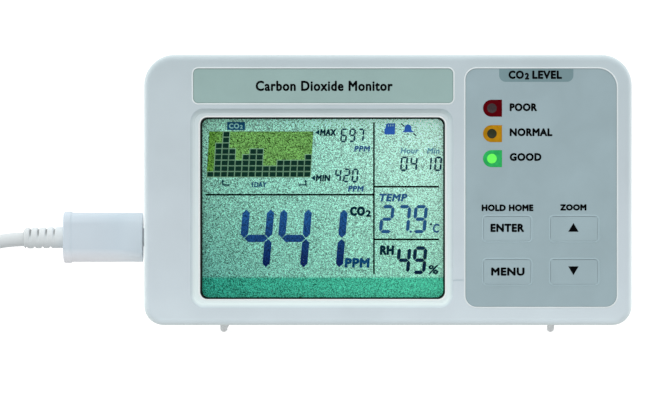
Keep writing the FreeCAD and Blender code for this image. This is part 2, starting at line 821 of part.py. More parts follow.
def make_electronics():
    keep(on_board(("12", "1.4", "12"), "2", "16"), "processor")
    keep(on_board(("6", "1.5", "5"), "-11", "12"), "memory_chip")
    keep(on_board(("8", "1.2", "3.4"), "14", "18"), "clock_crystal")
    cans = [rod("2.5", "6", "+Y", x, BOARD_BACK, z) for x, z in (("24", "14"), ("31", "14"), ("38", "14"))]
    keep(group(cans), "capacitors")
    buzzer = rod("6", "5.4", "+Y", "-42", BOARD_BACK, "12.5")
    port = rod("1", "2", "+Y", "-42", f"{BOARD_BACK} + 4.4", "12.5")
    keep(cut(buzzer, [port]), "buzzer")
    holder = on_board(("16", "4.2", "15"), "-24", "16")
    seat = rod("6.35", "3.4", "+Y", "-24", f"{BOARD_BACK} + 1", "16")
    keep(cut(holder, [seat]), "clock_cell_holder")
    keep(rod("6.25", "2", "+Y", "-24", f"{BOARD_BACK} + 1", "16"), "clock_cell")
    climate = on_board(("9", "1", "7"), "-46", "57.5", "1.5")
    legs = [on_board(("0.8", "1.5", "0.8"), x, "57.5") for x in ("-49", "-47", "-45", "-43")]
    chip = on_board(("2.5", "0.9", "2.5"), "-46", "57.5", "2.5")
    keep(fuse([climate, chip] + legs), "climate_sensor")


def make_gas_sensor():
    """Infrared gas cell: board on pins, folded chamber, lamp and detector, membrane over the inlet."""
    x = "-13"
    z = "43"
    lift = "3"
    carrier_top = f"({BOARD_BACK} + {lift} + 1)"
    keep(on_board(("36", "1", "22"), x, z, lift), "sensor_board")
    pins = [on_board(("0.6", lift, "0.6"), f"{x} + {n} * 2.54", f"{z} - 9.5") for n in range(-3, 4)]
    keep(group(pins), "sensor_pins")
    chamber = block(("30", "6.4", "13"), x, f"{carrier_top} + 3.2", z)
    bore = block(("26", "3", "9"), x, f"{carrier_top} + 3.2", z)
    inlet = block(("14", "4", "6"), x, f"{carrier_top} + 5.2", z)
    keep(cut(chamber, [bore, inlet]), "sensor_chamber")
    keep(block(("16", "0.3", "8"), x, f"{carrier_top} + 6.55", z), "sensor_membrane")
    lamp = rod("1.2", "3", "+X", f"{x} - 16.2", f"{carrier_top} + 3.2", f"{z} - 2.5")
    detector = rod("1.4", "3", "+X", f"{x} - 16.2", f"{carrier_top} + 3.2", f"{z} + 2.5")
    ends = [rod("1.9", "1.6", "+X", f"{x} - 16.7", f"{carrier_top} + 3.2", f"{z} {s} 2.5") for s in "-+"]
    walls = cut(fuse([lamp, detector] + ends), [chamber])
    keep(walls, "sensor_lamp_and_detector")
    mesh = block(("28", "0.3", "40"), "0.4", f"{BACK_Y} - side_wall - 0.15", "28")
    keep(mesh, "vent_mesh")


def make_card():
    """Memory card and the spring-loaded holder it slides in, open to the right."""
    inner_x = "(case_right - card_recess - card_length)"
    length = f"(case_right - side_wall - {inner_x} + 1.4)"
    holder_size = (length, "card_thick + 1.2", "card_width + 2.4")
    holder = block(holder_size, f"{inner_x} - 1.6 + {length} / 2", CARD_Y, "card_z")
    space_size = (
        "card_length + 4",
        "card_thick + 2 * card_clearance",
        "card_width + 2 * card_clearance",
    )
    space = block(space_size, f"{inner_x} - 0.1 + card_length / 2 + 2", CARD_Y, "card_z")
    keep(cut(holder, [space]), "card_holder")
    card_size = ("card_length", "card_thick", "card_width")
    card = block(card_size, f"{inner_x} + card_length / 2", CARD_Y, "card_z")
    nick = block(("6", "4", "6"), inner_x, CARD_Y, "card_z + card_width / 2")
    keep(cut(card, [nick]), "memory_card")


# ---------------------------------------------------------------- feet


def make_feet():
    """Each foot is one bent rod: pin with a pressed head, bend, and a leg lying back on the table."""
    bushes = []
    for name, x in (("left", "-foot_x"), ("right", "foot_x")):
        pin_low = "(foot_radius + foot_bend)"
        pin = rod("foot_radius", f"foot_pin_top - {pin_low}", "+Z", x, "foot_y", pin_low)
        head_at = x, "foot_y", "bush_top + 0.1"
        head = rod("foot_radius + 0.7", "foot_pin_top - bush_top - 0.1", "+Z", *head_at)
        bend = doc.addObject("Part::Torus", "bend")
        bind(bend, "Radius1", "foot_bend")
        bind(bend, "Radius2", "foot_radius")
        bend.Angle3 = 90
            # quarter turn of the rod from straight down to straight back, about an axis along X
        bend.Placement.Rotation = FreeCAD.Rotation(V(0, -1, 0), V(0, 0, -1), V(1, 0, 0), "ZXY")
        place(bend, x, "foot_y + foot_bend", pin_low)
        leg_start = "foot_y + foot_bend"
        leg_length = "foot_reach - foot_bend - foot_radius"
        leg = rod("foot_radius", leg_length, "+Y", x, leg_start, "foot_radius")
        tip = ball("foot_radius", x, f"{leg_start} + {leg_length}", "foot_radius")
        keep(fuse([pin, head, bend, leg, tip]), f"foot_{name}")
        sleeve = rod("bush_radius", "bush_top - case_floor", "+Z", x, "foot_y", "case_floor")
        bore = rod("foot_radius + pin_clearance", "bush_top", "+Z", x, "foot_y", "case_floor - 1")
        bushes.append(cut(sleeve, [bore]))
    keep(group(bushes), "foot_bushes")


# ---------------------------------------------------------------- USB plug and lead


def make_socket():
    """Micro USB socket on the left edge of the board: thin shell with a contact tongue."""
    left_x = "(case_left + side_wall - 0.1)"
    inner_thick = "(contact_shell_thick + 2 * shell_clearance)"
    inner_width = "(contact_shell_width + 2 * shell_clearance)"
    size = ("5.4", f"{inner_thick} + 0.7", f"{inner_width} + 0.7")
    shell = block(size, f"{left_x} + 2.7", "plug_y", "plug_z")
    space = block(("5", inner_thick, inner_width), f"{left_x} + 2.4", "plug_y", "plug_z")
    tongue = block(("3.4", "0.5", "3.6"), f"{left_x} + 3.2", "plug_y", "plug_z")
    keep(fuse([cut(shell, [space]), tongue]), "usb_socket")


def make_plug():
    """Plug in the case side: metal shell, moulded body with a flared end, slotted strain relief."""
    middle = ("plug_y", "plug_z")
    shell_x = "plug_front_x + contact_shell_length / 2"
    shell = block(("contact_shell_length", "contact_shell_thick", "contact_shell_width"), shell_x, *middle)
    hollow_size = ("5.2", "contact_shell_thick - 0.6", "contact_shell_width - 0.6")
    hollow = block(hollow_size, "plug_front_x + contact_shell_length - 2.5", *middle)
    keep(cut(shell, [hollow]), "usb_plug_shell")

    body_length = "(plug_length - flare_length)"
    body = block((body_length, "plug_thick", "plug_width"), f"plug_front_x - {body_length} / 2", *middle)
    flare_x = f"plug_front_x - {body_length} - flare_length / 2"
    flare = block(("flare_length", "flare_thick", "flare_width"), flare_x, *middle)
    rounded_body = round_edges(body, "plug_round", along(V(1, 0, 0)))
    rounded_flare = round_edges(flare, "plug_round", along(V(1, 0, 0)))
    doc.recompute()
    back = value("plug_front_x - plug_length")
    soft_flare = round_edges(rounded_flare, "0.9", lambda edge: edge.BoundBox.XMax < back + 1e-4)
    front = value("plug_front_x")
    soft_body = round_edges(rounded_body, "0.5", lambda edge: edge.BoundBox.XMin > front - 1e-4)
    keep(fuse([soft_body, soft_flare]), "usb_plug_body")

    relief_x = "(plug_front_x - plug_length)"
    relief = cone("relief_root_radius", "relief_tip_radius", "relief_length", "-X", relief_x, *middle)
    slots = []
    for step in range(4):
        x = f"{relief_x} - 1.6 - {step} * 2"
        for side in (-1, 1):
            slots.append(block(("0.8", "4", "1.2"), x, "plug_y", f"plug_z + {side} * 2.45"))
            slots.append(block(("0.8", "1.2", "4"), f"{x} - 1", f"plug_y + {side} * 2.45", "plug_z"))
    keep(cut(relief, slots), "usb_plug_relief")


def rounded_route(points):
    """Straight runs joined by tangent arcs, each starting 0.45 of its shorter run from the corner."""
    edges = []
    radii = []
    here = points[0]
    for before, corner, after in zip(points, points[1:], points[2:]):
        back = before - corner
        ahead = after - corner
        trim = 0.45 * min(back.Length, ahead.Length)
        half_turn = (math.pi - back.getAngle(ahead)) / 2
        radii.append(trim / math.tan(half_turn))
        back.normalize()
        ahead.normalize()
        start = corner + back * trim
        end = corner + ahead * trim
        inward = (back + ahead).normalize()
        sagitta = radii[-1] / math.cos(half_turn) - radii[-1]
        edges.append(Part.LineSegment(here, start).toShape())
        edges.append(Part.Arc(start, corner + inward * sagitta, end).toShape())
        here = end
    edges.append(Part.LineSegment(here, points[-1]).toShape())
    return Part.Wire(edges), radii


def make_tube(label, points):
    wire, radii = rounded_route(points)
    radius = value("cord_radius")
    profile = Part.Wire(Part.Circle(points[0], points[1] - points[0], radius).toShape())
    solid = wire.makePipeShell([profile], True, False)
    expected = math.pi * radius**2 * wire.Length
    print(label, "length", round(wire.Length, 1), "radii", [round(r) for r in radii])
    print(label, "volume", round(solid.Volume, 1), "section times length", round(expected, 1))
    tube = doc.addObject("Part::Feature", label)
    tube.Shape = solid
    tube.Placement = FreeCAD.Placement()
    keep(tube, label)
    return wire.Length


def make_lead():
    """Lead, neat coil on the table, tie round the coil and the short tail to the far plug."""
    lead = make_tube("cord_run", LEAD_ROUTE)
    tail = make_tube("cord_tail", TAIL_ROUTE)
    coil = 2 * math.pi * value("coil_mid_radius * coil_turns")
    print("lead in all", round(lead + coil + tail, 1))

    half_wide = "(coil_turns / coil_layers * cord_radius + cord_radius)"
    high = "(2 * coil_layers * cord_radius)"
    centre_y = value("plug_y + coil_mid_radius + coil_turns / coil_layers * cord_radius")
    body = new_body("cord_coil")
    sketch = sketch_on(body, "XZ_Plane")
    across = f"coil_mid_radius - {half_wide}", f"coil_mid_radius + {half_wide}"
    sides = *across, "tie_thick", f"tie_thick + {high}"
    rounded_rectangle(sketch, *sides, ["cord_radius"] * 4)
    ring = body.newObject("PartDesign::Revolution", "ring")
    ring.Profile = sketch
    ring.ReferenceAxis = (sketch, ["V_Axis"])
    ring.Angle = 360
    place(body, "coil_x", str(centre_y), "0")
    keep(body, "cord_coil")

    tie_x = "(coil_x + coil_mid_radius)"
    hole = (f"2 * {half_wide} + tie_slack", "tie_width + 2", f"{high} + 0.02")
    band = (f"{hole[0]} + 2 * tie_thick", "tie_width", f"{hole[2]} + 2 * tie_thick")
    tie_middle = (tie_x, str(centre_y), f"tie_thick + {high} / 2 + 0.01")
    keep(cut(block(band, *tie_middle), [block(hole, *tie_middle)]), "cord_tie")

    end = TAIL_ROUTE[-1]
    beside = str(end.y), str(end.z)
    relief_radii = "relief_tip_radius", "relief_root_radius"
    keep(cone(*relief_radii, "far_relief_length", "-X", str(end.x), *beside), "usb_a_relief")
    body_x = f"({end.x} - far_relief_length)"
    body_size = ("far_body_length", "far_body_width", "far_body_thick")
    far_body = block(body_size, f"{body_x} - far_body_length / 2", *beside)
    keep(round_edges(far_body, "1.8", along(V(1, 0, 0))), "usb_a_body")
    shell_x = f"({body_x} - far_body_length)"
    shell_middle = (f"{shell_x} - far_shell_length / 2", *beside)
    shell = block(("far_shell_length", "far_shell_width", "far_shell_thick"), *shell_middle)
    hollow_size = ("far_shell_length + 2", "far_shell_width - 0.6", "far_shell_thick - 0.6")
    window_size = ("2.2", "2.2", "far_shell_thick + 2")
    windows = [
        block(window_size, f"{shell_x} - 10", f"{end.y} + {side} * 2.5", beside[1]) for side in (-1, 1)
    ]
    keep(cut(shell, [block(hollow_size, *shell_middle)] + windows), "usb_a_shell")
    tongue_size = ("far_shell_length - 1", "far_shell_width - 0.7", "1.9")
    tongue = block(tongue_size, f"{shell_x} - far_shell_length / 2 + 0.5", beside[0], f"{end.z} - 0.9")
    keep(tongue, "usb_a_insulator")


make_front_case()
make_rear_cover()
make_screws()
make_inlays()
make_display()
make_indicators()
make_keys()
make_board()
make_electronics()
make_gas_sensor()
make_card()
make_feet()
make_socket()
make_plug()
make_lead()
doc.recompute()

for item in doc.Objects:
    if "Invalid" in item.State or "Error" in item.State:
        raise RuntimeError(f"{item.Label} failed: {item.State}")
for label, item in parts.items():
    if item.Shape.isNull() or not item.Shape.isValid():
        raise RuntimeError(f"{label} has no valid shape")

os.makedirs("parts", exist_ok=True)
for label, item in parts.items():
    item.Shape.exportStep(f"parts/{label}.step")
print(len(parts), "parts written")
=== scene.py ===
import math

import bmesh
import bpy
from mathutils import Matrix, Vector


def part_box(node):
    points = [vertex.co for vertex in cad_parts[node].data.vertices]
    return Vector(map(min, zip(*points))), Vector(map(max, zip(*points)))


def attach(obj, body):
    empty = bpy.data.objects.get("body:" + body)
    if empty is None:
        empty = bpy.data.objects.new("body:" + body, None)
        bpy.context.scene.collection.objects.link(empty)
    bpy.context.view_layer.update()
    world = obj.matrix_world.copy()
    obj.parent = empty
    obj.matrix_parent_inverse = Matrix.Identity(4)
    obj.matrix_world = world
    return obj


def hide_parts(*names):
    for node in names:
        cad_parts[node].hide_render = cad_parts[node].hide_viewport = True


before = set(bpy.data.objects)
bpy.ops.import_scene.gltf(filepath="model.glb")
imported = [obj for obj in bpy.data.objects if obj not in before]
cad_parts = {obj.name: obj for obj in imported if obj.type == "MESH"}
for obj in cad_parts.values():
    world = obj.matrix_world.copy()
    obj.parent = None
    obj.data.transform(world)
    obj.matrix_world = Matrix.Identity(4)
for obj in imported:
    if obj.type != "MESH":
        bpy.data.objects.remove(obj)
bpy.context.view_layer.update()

# A desktop carbon dioxide monitor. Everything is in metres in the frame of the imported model:
# +Z up, the front faces -Y, the origin is on the table midway between the feet.

MM = 0.001
add_to_scene = bpy.context.scene.collection.objects.link
FRONT_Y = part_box("front_case")[0][1]


# ---------------- camera

VIEW_WIDTH = 0.1612  # width of the picture at the front face
VIEW_CENTRE_X = -0.0159
VIEW_CENTRE_Z = 0.0313
CAMERA_DISTANCE = 0.70
SENSOR = 36.0


def make_camera():
    data = bpy.data.cameras.new("camera")
    data.sensor_width = SENSOR
    data.lens = SENSOR * CAMERA_DISTANCE / VIEW_WIDTH
    data.clip_start = 0.01
    camera = bpy.data.objects.new("camera", data)
    camera.location = (VIEW_CENTRE_X, FRONT_Y - CAMERA_DISTANCE, VIEW_CENTRE_Z)
    camera.rotation_euler = (math.pi / 2, 0, 0)
    add_to_scene(camera)
    bpy.context.scene.camera = camera


make_camera()


# ---------------- lead

PLUG_Y = -9.4 * MM
PLUG_Z = 23.65 * MM
CORD_DIAMETER = 3.5 * MM
COIL_MID_RADIUS = 19.25 * MM
COIL_TURNS = 9.25
COIL_LAYERS = 4
COIL_POINTS = 24  # per turn
TURNS_IN_LAYER = COIL_TURNS / COIL_LAYERS
COIL_WIDEST = COIL_MID_RADIUS + TURNS_IN_LAYER * CORD_DIAMETER / 2
COIL_CLIMB = 0.12  # turns that the step to the next layer takes
COIL_CENTRE = Vector((-142.0 * MM, PLUG_Y + COIL_WIDEST, 0.0))
TIE_THICK = 0.5 * MM

# Route of the lead down to the table, and from the coil to the far plug, in millimetres.
LEAD_ROUTE = [
    (-90.6, -9.4, 23.15),
    (-98.5, -9.35, 23.15),
    (-107.5, -9.2, 19.2),
    (-115.5, -9.1, 11.8),
    (-123.5, -9.2, 5.1),
    (-132.0, -9.35, 2.5),
]
TAIL_ROUTE = [
    (-162.6, 25.6, 13.3),
    (-153.6, 33.4, 15.6),
    (-141.0, 34.6, 17.0),
    (-124.9, 33.9, 17.5),
    (-119.0, 28.0, 17.8),
    (-119.0, 19.8, 18.2),
    (-124.9, 13.9, 18.45),
    (-131.5, 13.9, 18.45),
]


def smooth_step(x):
    x = min(1.0, max(0.0, x))
    return x * x * (3 - 2 * x)


def coil_points():
    """Layers of a flat spiral, wound inwards and outwards in turn, each a diameter above the last."""
    points = []
    for step in range(round(COIL_TURNS * COIL_POINTS) + 1):
        turn = step / COIL_POINTS
        layer = min(COIL_LAYERS - 1, int(turn / TURNS_IN_LAYER))
        along = turn - layer * TURNS_IN_LAYER
        shrink = along if layer % 2 == 0 else TURNS_IN_LAYER - along
        radius = COIL_WIDEST - shrink * CORD_DIAMETER
        edges = [edge * TURNS_IN_LAYER for edge in range(1, COIL_LAYERS)]
        height = sum(smooth_step((turn - edge) / COIL_CLIMB + 0.5) for edge in edges)
        angle = -math.pi / 2 - 2 * math.pi * turn
        offset = Vector((math.cos(angle) * radius, math.sin(angle) * radius, 0))
        offset.z = TIE_THICK + CORD_DIAMETER * (0.5 + height)
        points.append(COIL_CENTRE + offset)
    return points


def make_lead(material, near_plug):
    points = [Vector(p) * MM for p in LEAD_ROUTE] + coil_points() + [Vector(p) * MM for p in TAIL_ROUTE]
    data = bpy.data.curves.new("lead", "CURVE")
    data.dimensions = "3D"
    data.bevel_depth = CORD_DIAMETER / 2
    data.bevel_resolution = 6
    data.resolution_u = 8
    data.use_fill_caps = True
    spline = data.splines.new("NURBS")
    spline.points.add(len(points) - 1)
    for spot, point in zip(spline.points, points):
        spot.co = (*point, 1)
    spline.order_u = 3
    spline.use_endpoint_u = True
    data.materials.append(material)
    lead = bpy.data.objects.new("lead", data)
    add_to_scene(lead)
    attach(lead, "lead_body")
    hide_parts("cord_run", "cord_coil", "cord_tail")


# ---------------- materials


class Look:
    """A Principled material and short ways to add procedural detail to it."""

    def __init__(self, name, roughness=0.5, **sockets):
        self.material = bpy.data.materials.new(name)
        self.material.use_nodes = True
        self.tree = self.material.node_tree
        self.shader = self.tree.nodes["Principled BSDF"]
        self.shader.inputs["Roughness"].default_value = roughness
        for socket, amount in sockets.items():
            self.shader.inputs[socket.replace("_", " ")].default_value = amount
        self.place = self.add("ShaderNodeTexCoord").outputs["Object"]
        self.height = None

    def add(self, kind, **settings):
        node = self.tree.nodes.new(kind)
        for name, setting in settings.items():
            setattr(node, name, setting)
        return node

    def link(self, start, end):
        self.tree.links.new(start, end)

    def feed(self, socket, source):
        """Source is a number, a colour or the socket of another node."""
        if isinstance(source, (int, float)):
            socket.default_value = source
        elif isinstance(source, tuple):
            socket.default_value = (*source, 1)
        else:
            self.link(source, socket)

    def texture(self, kind, size, stretch=(1, 1, 1)):
        """A procedural texture with features of about this size in metres."""
        mapping = self.add("ShaderNodeMapping")
        mapping.inputs["Scale"].default_value = [s / size for s in stretch]
        self.link(self.place, mapping.inputs["Vector"])
        texture = self.add(kind)
        texture.inputs["Scale"].default_value = 1.0
        self.link(mapping.outputs["Vector"], texture.inputs["Vector"])
        return texture

    def noise(self, size, detail=2.0, stretch=(1, 1, 1), distortion=0.0):
        """Smooth noise from 0 to 1."""
        texture = self.texture("ShaderNodeTexNoise", size, stretch)
        texture.inputs["Detail"].default_value = detail
        texture.inputs["Distortion"].default_value = distortion
        return texture.outputs["Fac"]

    def speckle(self, size):
        """A random value from 0 to 1 for each grain of this size."""
        texture = self.texture("ShaderNodeTexVoronoi", size)
        parts = self.add("ShaderNodeSeparateColor")
        self.link(texture.outputs["Color"], parts.inputs["Color"])
        return parts.outputs["Red"]

    def ramp(self, value, stops):
        node = self.add("ShaderNodeValToRGB")
        elements = node.color_ramp.elements
        while len(elements) < len(stops):
            elements.new(0.5)
        for element, (position, color) in zip(elements, stops):
            element.position = position
            element.color = (*color, 1)
        self.link(value, node.inputs["Fac"])
        return node.outputs["Color"]

    def mix(self, factor, first, second, blend="MIX"):
        node = self.add("ShaderNodeMix", data_type="RGBA", blend_type=blend)
        for socket, source in zip((0, 6, 7), (factor, first, second)):
            self.feed(node.inputs[socket], source)
        return node.outputs[2]

    def math(self, operation, first, second=0.5):
        node = self.add("ShaderNodeMath", operation=operation)
        for socket, source in zip(node.inputs, (first, second)):
            self.feed(socket, source)
        return node.outputs[0]

    def between(self, value, low, high, smooth=False):
        """0 below low and 1 above high."""
        node = self.add("ShaderNodeMapRange", clamp=True)
        node.interpolation_type = "SMOOTHSTEP" if smooth else "LINEAR"
        node.inputs["From Min"].default_value = low
        node.inputs["From Max"].default_value = high
        self.link(value, node.inputs["Value"])
        return node.outputs["Result"]

    def axes(self):
        node = self.add("ShaderNodeSeparateXYZ")
        self.link(self.place, node.inputs["Vector"])
        return node.outputs

    def color(self, source):
        self.link(source, self.shader.inputs["Base Color"])

    def base(self):
        """What the base colour comes from so far."""
        return self.shader.inputs["Base Color"].links[0].from_socket

    def glow(self, color, strength):
        self.shader.inputs["Emission Color"].default_value = (*color, 1)
        self.shader.inputs["Emission Strength"].default_value = strength

    def roughness(self, value, low, high):
        node = self.add("ShaderNodeMapRange")
        node.inputs["To Min"].default_value = low
        node.inputs["To Max"].default_value = high
        self.link(value, node.inputs["Value"])
        self.link(node.outputs["Result"], self.shader.inputs["Roughness"])

    def bump(self, value, depth):
        """Stacks a bump of this depth in metres on the ones before it."""
        node = self.add("ShaderNodeBump")
        node.inputs["Strength"].default_value = 1.0
        node.inputs["Distance"].default_value = depth
        self.link(value, node.inputs["Height"])
        if self.height is not None:
            self.link(self.height, node.inputs["Normal"])
        self.height = node.outputs["Normal"]
        self.link(self.height, self.shader.inputs["Normal"])


def grey(value):
    return (value, value, value)


def from_srgb(red, green, blue):
    def channel(value):
        value /= 255
        return value / 12.92 if value <= 0.04045 else ((value + 0.055) / 1.055) ** 2.4

    return tuple(channel(value) for value in (red, green, blue))


def shade(color, factor):
    return tuple(min(1.0, channel * factor) for channel in color)


def moulded(name, color, roughness=0.45, grain=0.25 * MM, depth=0.004 * MM, spread=0.05, tint=None):
    """Injection-moulded plastic: fine spark-eroded grain and slow, faint changes of tone."""
    look = Look(name, roughness)
    tone = look.noise(14 * MM, detail=3)
    fine = look.noise(grain, detail=2)
    toned = look.ramp(tone, [(0.3, shade(color, 1 - spread)), (0.7, shade(color, 1 + spread))])
    # an optional painted light, laid over the tone
    if tint:
        toned = tint(look, toned)
    look.color(look.mix(look.math("MULTIPLY", fine, 0.12), toned, shade(color, 0.82)))
    look.roughness(fine, roughness - 0.06, roughness + 0.08)
    look.bump(fine, depth)
    look.bump(look.noise(1.6 * MM, detail=1), depth * 1.5)
    return look


def printed_film(name, color):
    """Satin overlay film: very fine velvet finish with faint clouding of the ink."""
    look = Look(name, 0.38)
    cloud = look.noise(9 * MM, detail=4, distortion=0.4)
    speck = look.noise(0.16 * MM, detail=1)
    base = look.ramp(cloud, [(0.3, shade(color, 0.95)), (0.72, shade(color, 1.05))])
    look.color(look.mix(look.math("MULTIPLY", speck, 0.16), base, shade(color, 0.78)))
    look.roughness(speck, 0.33, 0.48)
    look.bump(speck, 0.0016 * MM)
    return look.material


def metal(name, color, roughness=0.25):
    """Drawn or plated metal: fine lines along X and faint stains."""
    look = Look(name, roughness, Metallic=1.0)
    lines = look.noise(0.5 * MM, detail=3, stretch=(1, 12, 12))
    stain = look.noise(4 * MM, detail=3)
    base = look.ramp(stain, [(0.3, shade(color, 0.88)), (0.7, color)])
    look.color(look.mix(look.math("MULTIPLY", lines, 0.2), base, shade(color, 0.7)))
    look.roughness(lines, roughness - 0.08, roughness + 0.15)
    look.bump(lines, 0.002 * MM)
    return look.material


def ink(name, color, spread=0.12):
    """Matt ink of uneven density."""
    look = Look(name, Specular_IOR_Level=0.0)
    stops = [(0.3, shade(color, 1 - spread)), (0.7, shade(color, 1 + spread))]
    look.color(look.ramp(look.noise(0.2 * MM), stops))
    return look.material


def case_painted_light(look, base):
    """Painted light: lighter towards the bottom of the case and darker near its top, and a painted highlight,
    strongest low down, on the ledge round the display and on every surface set back from the front face, such
    as the rounded edges and the sides.
    """
    _, y, z = look.axes()
    stops = [
        (0.028, (1.5, 1.5, 1.48)),
        (0.055, (1.14, 1.14, 1.13)),
        (0.16, grey(1.08)),
        (0.45, grey(1.0)),
        (0.96, (0.9, 0.93, 0.92)),
    ]
    fall = look.ramp(look.between(z, 0.0, 70 * MM), stops)
    toned = look.mix(1.0, base, fall, blend="MULTIPLY")
    # painted highlight on every surface set back from the front face, stronger lower down
    ledge = look.between(y, FRONT_Y + 0.1 * MM, FRONT_Y + 0.9 * MM)
    low = look.between(z, 56 * MM, 7 * MM)
    share = look.math("ADD", look.math("MULTIPLY", low, 0.42), 0.38)
    return look.mix(look.math("MULTIPLY", ledge, share), toned, (0.84, 0.95, 0.94))


CASE = from_srgb(199, 212, 219)
PANEL = from_srgb(154, 177, 184)
TITLE = from_srgb(151, 181, 178)
TAB = from_srgb(112, 143, 149)
CABLE = from_srgb(216, 223, 225)
PLUG = from_srgb(206, 219, 229)
ROD = from_srgb(230, 234, 235)

# the case plastic carries painted light: a height gradient and a painted highlight on its set-back surfaces
case_plastic = moulded("case_plastic", CASE, spread=0.04, tint=case_painted_light).material
panel_film = printed_film("panel_film", PANEL)
title_film = printed_film("title_film", TITLE)
tab_film = printed_film("tab_film", TAB)
key_plastic = printed_film("key_plastic", shade(PANEL, 1.03))
cable_pvc = moulded("cable_pvc", CABLE, 0.42, grain=0.4 * MM, depth=0.006 * MM, spread=0.03).material
plug_pvc = moulded("plug_pvc", PLUG, 0.36, grain=0.3 * MM, spread=0.02).material
black_moulded = moulded("black_moulded", (0.02, 0.02, 0.022), spread=0.15).material
inner_moulded = moulded("inner_moulded", (0.62, 0.62, 0.58)).material
foam = moulded("foam", (0.006, 0.010, 0.010), 0.8, grain=0.12 * MM, depth=0.02 * MM).material
nickel = metal("nickel", (0.72, 0.71, 0.69))
zinc = metal("zinc", (0.62, 0.63, 0.65), roughness=0.32)
gold = metal("gold", (0.83, 0.62, 0.28))
rod_coat = moulded("rod_coat", ROD, 0.25, grain=0.5 * MM, depth=0.003 * MM).material
black_ink = ink("black_ink", (0.003, 0.0035, 0.004))


def board_look():
    """Green resist over raised tracks."""
    look = Look("board_resist", 0.3)
    tracks = look.noise(0.8 * MM, detail=0, stretch=(1, 1, 0.3))
    look.color(look.ramp(tracks, [(0.47, (0.015, 0.11, 0.045)), (0.5, (0.03, 0.19, 0.08))]))
    look.bump(tracks, 0.02 * MM)
    return look.material


def mesh_look():
    """Woven dust mesh behind the vents."""
    look = Look("dust_mesh", 0.5, Metallic=0.6)
    weave = look.add("ShaderNodeTexChecker")
    weave.inputs["Scale"].default_value = 1 / (0.5 * MM)
    weave.inputs["Color1"].default_value = (*grey(0.03), 1)
    weave.inputs["Color2"].default_value = (*grey(0.12), 1)
    look.link(look.place, weave.inputs["Vector"])
    look.color(weave.outputs["Color"])
    look.bump(weave.outputs["Fac"], 0.05 * MM)
    return look.material


def tinted_window(name, color):
    """Coloured window, slightly cloudy."""
    look = Look(name, 0.16, Specular_IOR_Level=0.0)
    cloud = look.noise(1.2 * MM, detail=3)
    look.color(look.ramp(cloud, [(0.3, shade(color, 0.85)), (0.7, shade(color, 1.15))]))
    look.bump(look.noise(0.6 * MM), 0.003 * MM)
    return look.material


def lens_look():
    """Clear acrylic: only its gloss shows."""
    look = Look("lens", 0.06, Alpha=0.015, Specular_IOR_Level=0.15)
    look.color(look.ramp(look.noise(8 * MM), [(0.3, (0.02, 0.04, 0.03)), (0.7, (0.03, 0.05, 0.04))]))
    look.bump(look.noise(5 * MM), 0.002 * MM)
    return look.material


board_resist = board_look()
dust_mesh = mesh_look()
membrane = moulded("membrane", (0.8, 0.8, 0.78), 0.8, grain=0.2 * MM, depth=0.02 * MM).material
red_window = tinted_window("red_window", from_srgb(90, 7, 15))
amber_window = tinted_window("amber_window", from_srgb(182, 131, 22))
green_window = tinted_window("green_window", from_srgb(52, 182, 98))
lens = lens_look()

INNER_NODES = "lcd_frame light_guide foot_bushes"
for name in ("poor", "normal", "good"):
    INNER_NODES += f" indicator_lamp_{name}"
for name in ("enter", "menu", "up", "down"):
    INNER_NODES += f" switch_plunger_{name}"

NODE_LOOKS = {
    case_plastic: "front_case rear_cover",
    title_film: "title_plate",
    panel_film: "keypad_panel",
    key_plastic: "key_enter key_menu key_up key_down",
    lens: "display_lens",
    foam: "display_gasket",
    red_window: "indicator_window_poor",
    amber_window: "indicator_window_normal",
    green_window: "indicator_window_good",
    inner_moulded: INNER_NODES,
    black_moulded: (
        "indicator_shield key_switches memory_card clock_cell_holder processor memory_chip buzzer"
        " lcd_connector"
    ),
    board_resist: "main_board sensor_board climate_sensor",
    nickel: (
        "usb_socket card_holder clock_cell clock_crystal capacitors usb_plug_shell usb_a_shell"
        " sensor_lamp_and_detector"
    ),
    gold: "sensor_pins sensor_chamber",
    membrane: "sensor_membrane",
    zinc: "board_screws case_screws",
    dust_mesh: "vent_mesh",
    plug_pvc: "usb_a_relief usb_a_body usb_a_insulator cord_tie",
}
for node_material, node_names in NODE_LOOKS.items():
    for node_name in node_names.split():
        for node_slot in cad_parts[node_name].material_slots:
            node_slot.material = node_material


# ---------------- flat pieces


def circle(steps):
    return [2 * math.pi * i / steps for i in range(steps)]


def bands(near, far):
    """The four corners of each face between two closed rows of equal length."""
    for i in range(len(near)):
        j = (i + 1) % len(near)
        yield near[i], near[j], far[j], far[i]


def to_mesh(bm, name):
    mesh = bpy.data.meshes.new(name)
    bm.to_mesh(mesh)
    bm.free()
    return mesh


def link_mesh(name, mesh, material, body):
    mesh.materials.append(material)
    piece = bpy.data.objects.new(name, mesh)
    add_to_scene(piece)
    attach(piece, body)
    return piece


class Flat:
    """Collects flat shapes, given as loops of (across, up) in metres, and raises them into one thin piece."""

    def __init__(self):
        self.bm = bmesh.new()

    def shape(self, loop):
        self.bm.faces.new([self.bm.verts.new((x, 0, z)) for x, z in loop])

    def bar(self, left, right, bottom, top):
        self.shape([(left, bottom), (right, bottom), (right, top), (left, top)])

    def disc(self, x, z, radius, steps):
        self.shape([(x + radius * math.cos(a), z + radius * math.sin(a)) for a in circle(steps)])

    def build(self, name, y, thick, material, body, slot):
        """The front faces lie at y, facing the viewer, and the piece is thick towards the rear."""
        bm = self.bm
        for face in bm.faces:
            face.normal_update()
            if face.normal.y > 0:
                face.normal_flip()
        bmesh.ops.translate(bm, verts=bm.verts, vec=(0, y, 0))
        raised = bmesh.ops.extrude_face_region(bm, geom=bm.faces[:])
        back = [item for item in raised["geom"] if isinstance(item, bmesh.types.BMVert)]
        bmesh.ops.translate(bm, verts=back, vec=(0, thick, 0))
        bmesh.ops.recalc_face_normals(bm, faces=bm.faces)
        return link_mesh(name, to_mesh(bm, name), material, body)


CORNER_STEPS = 8


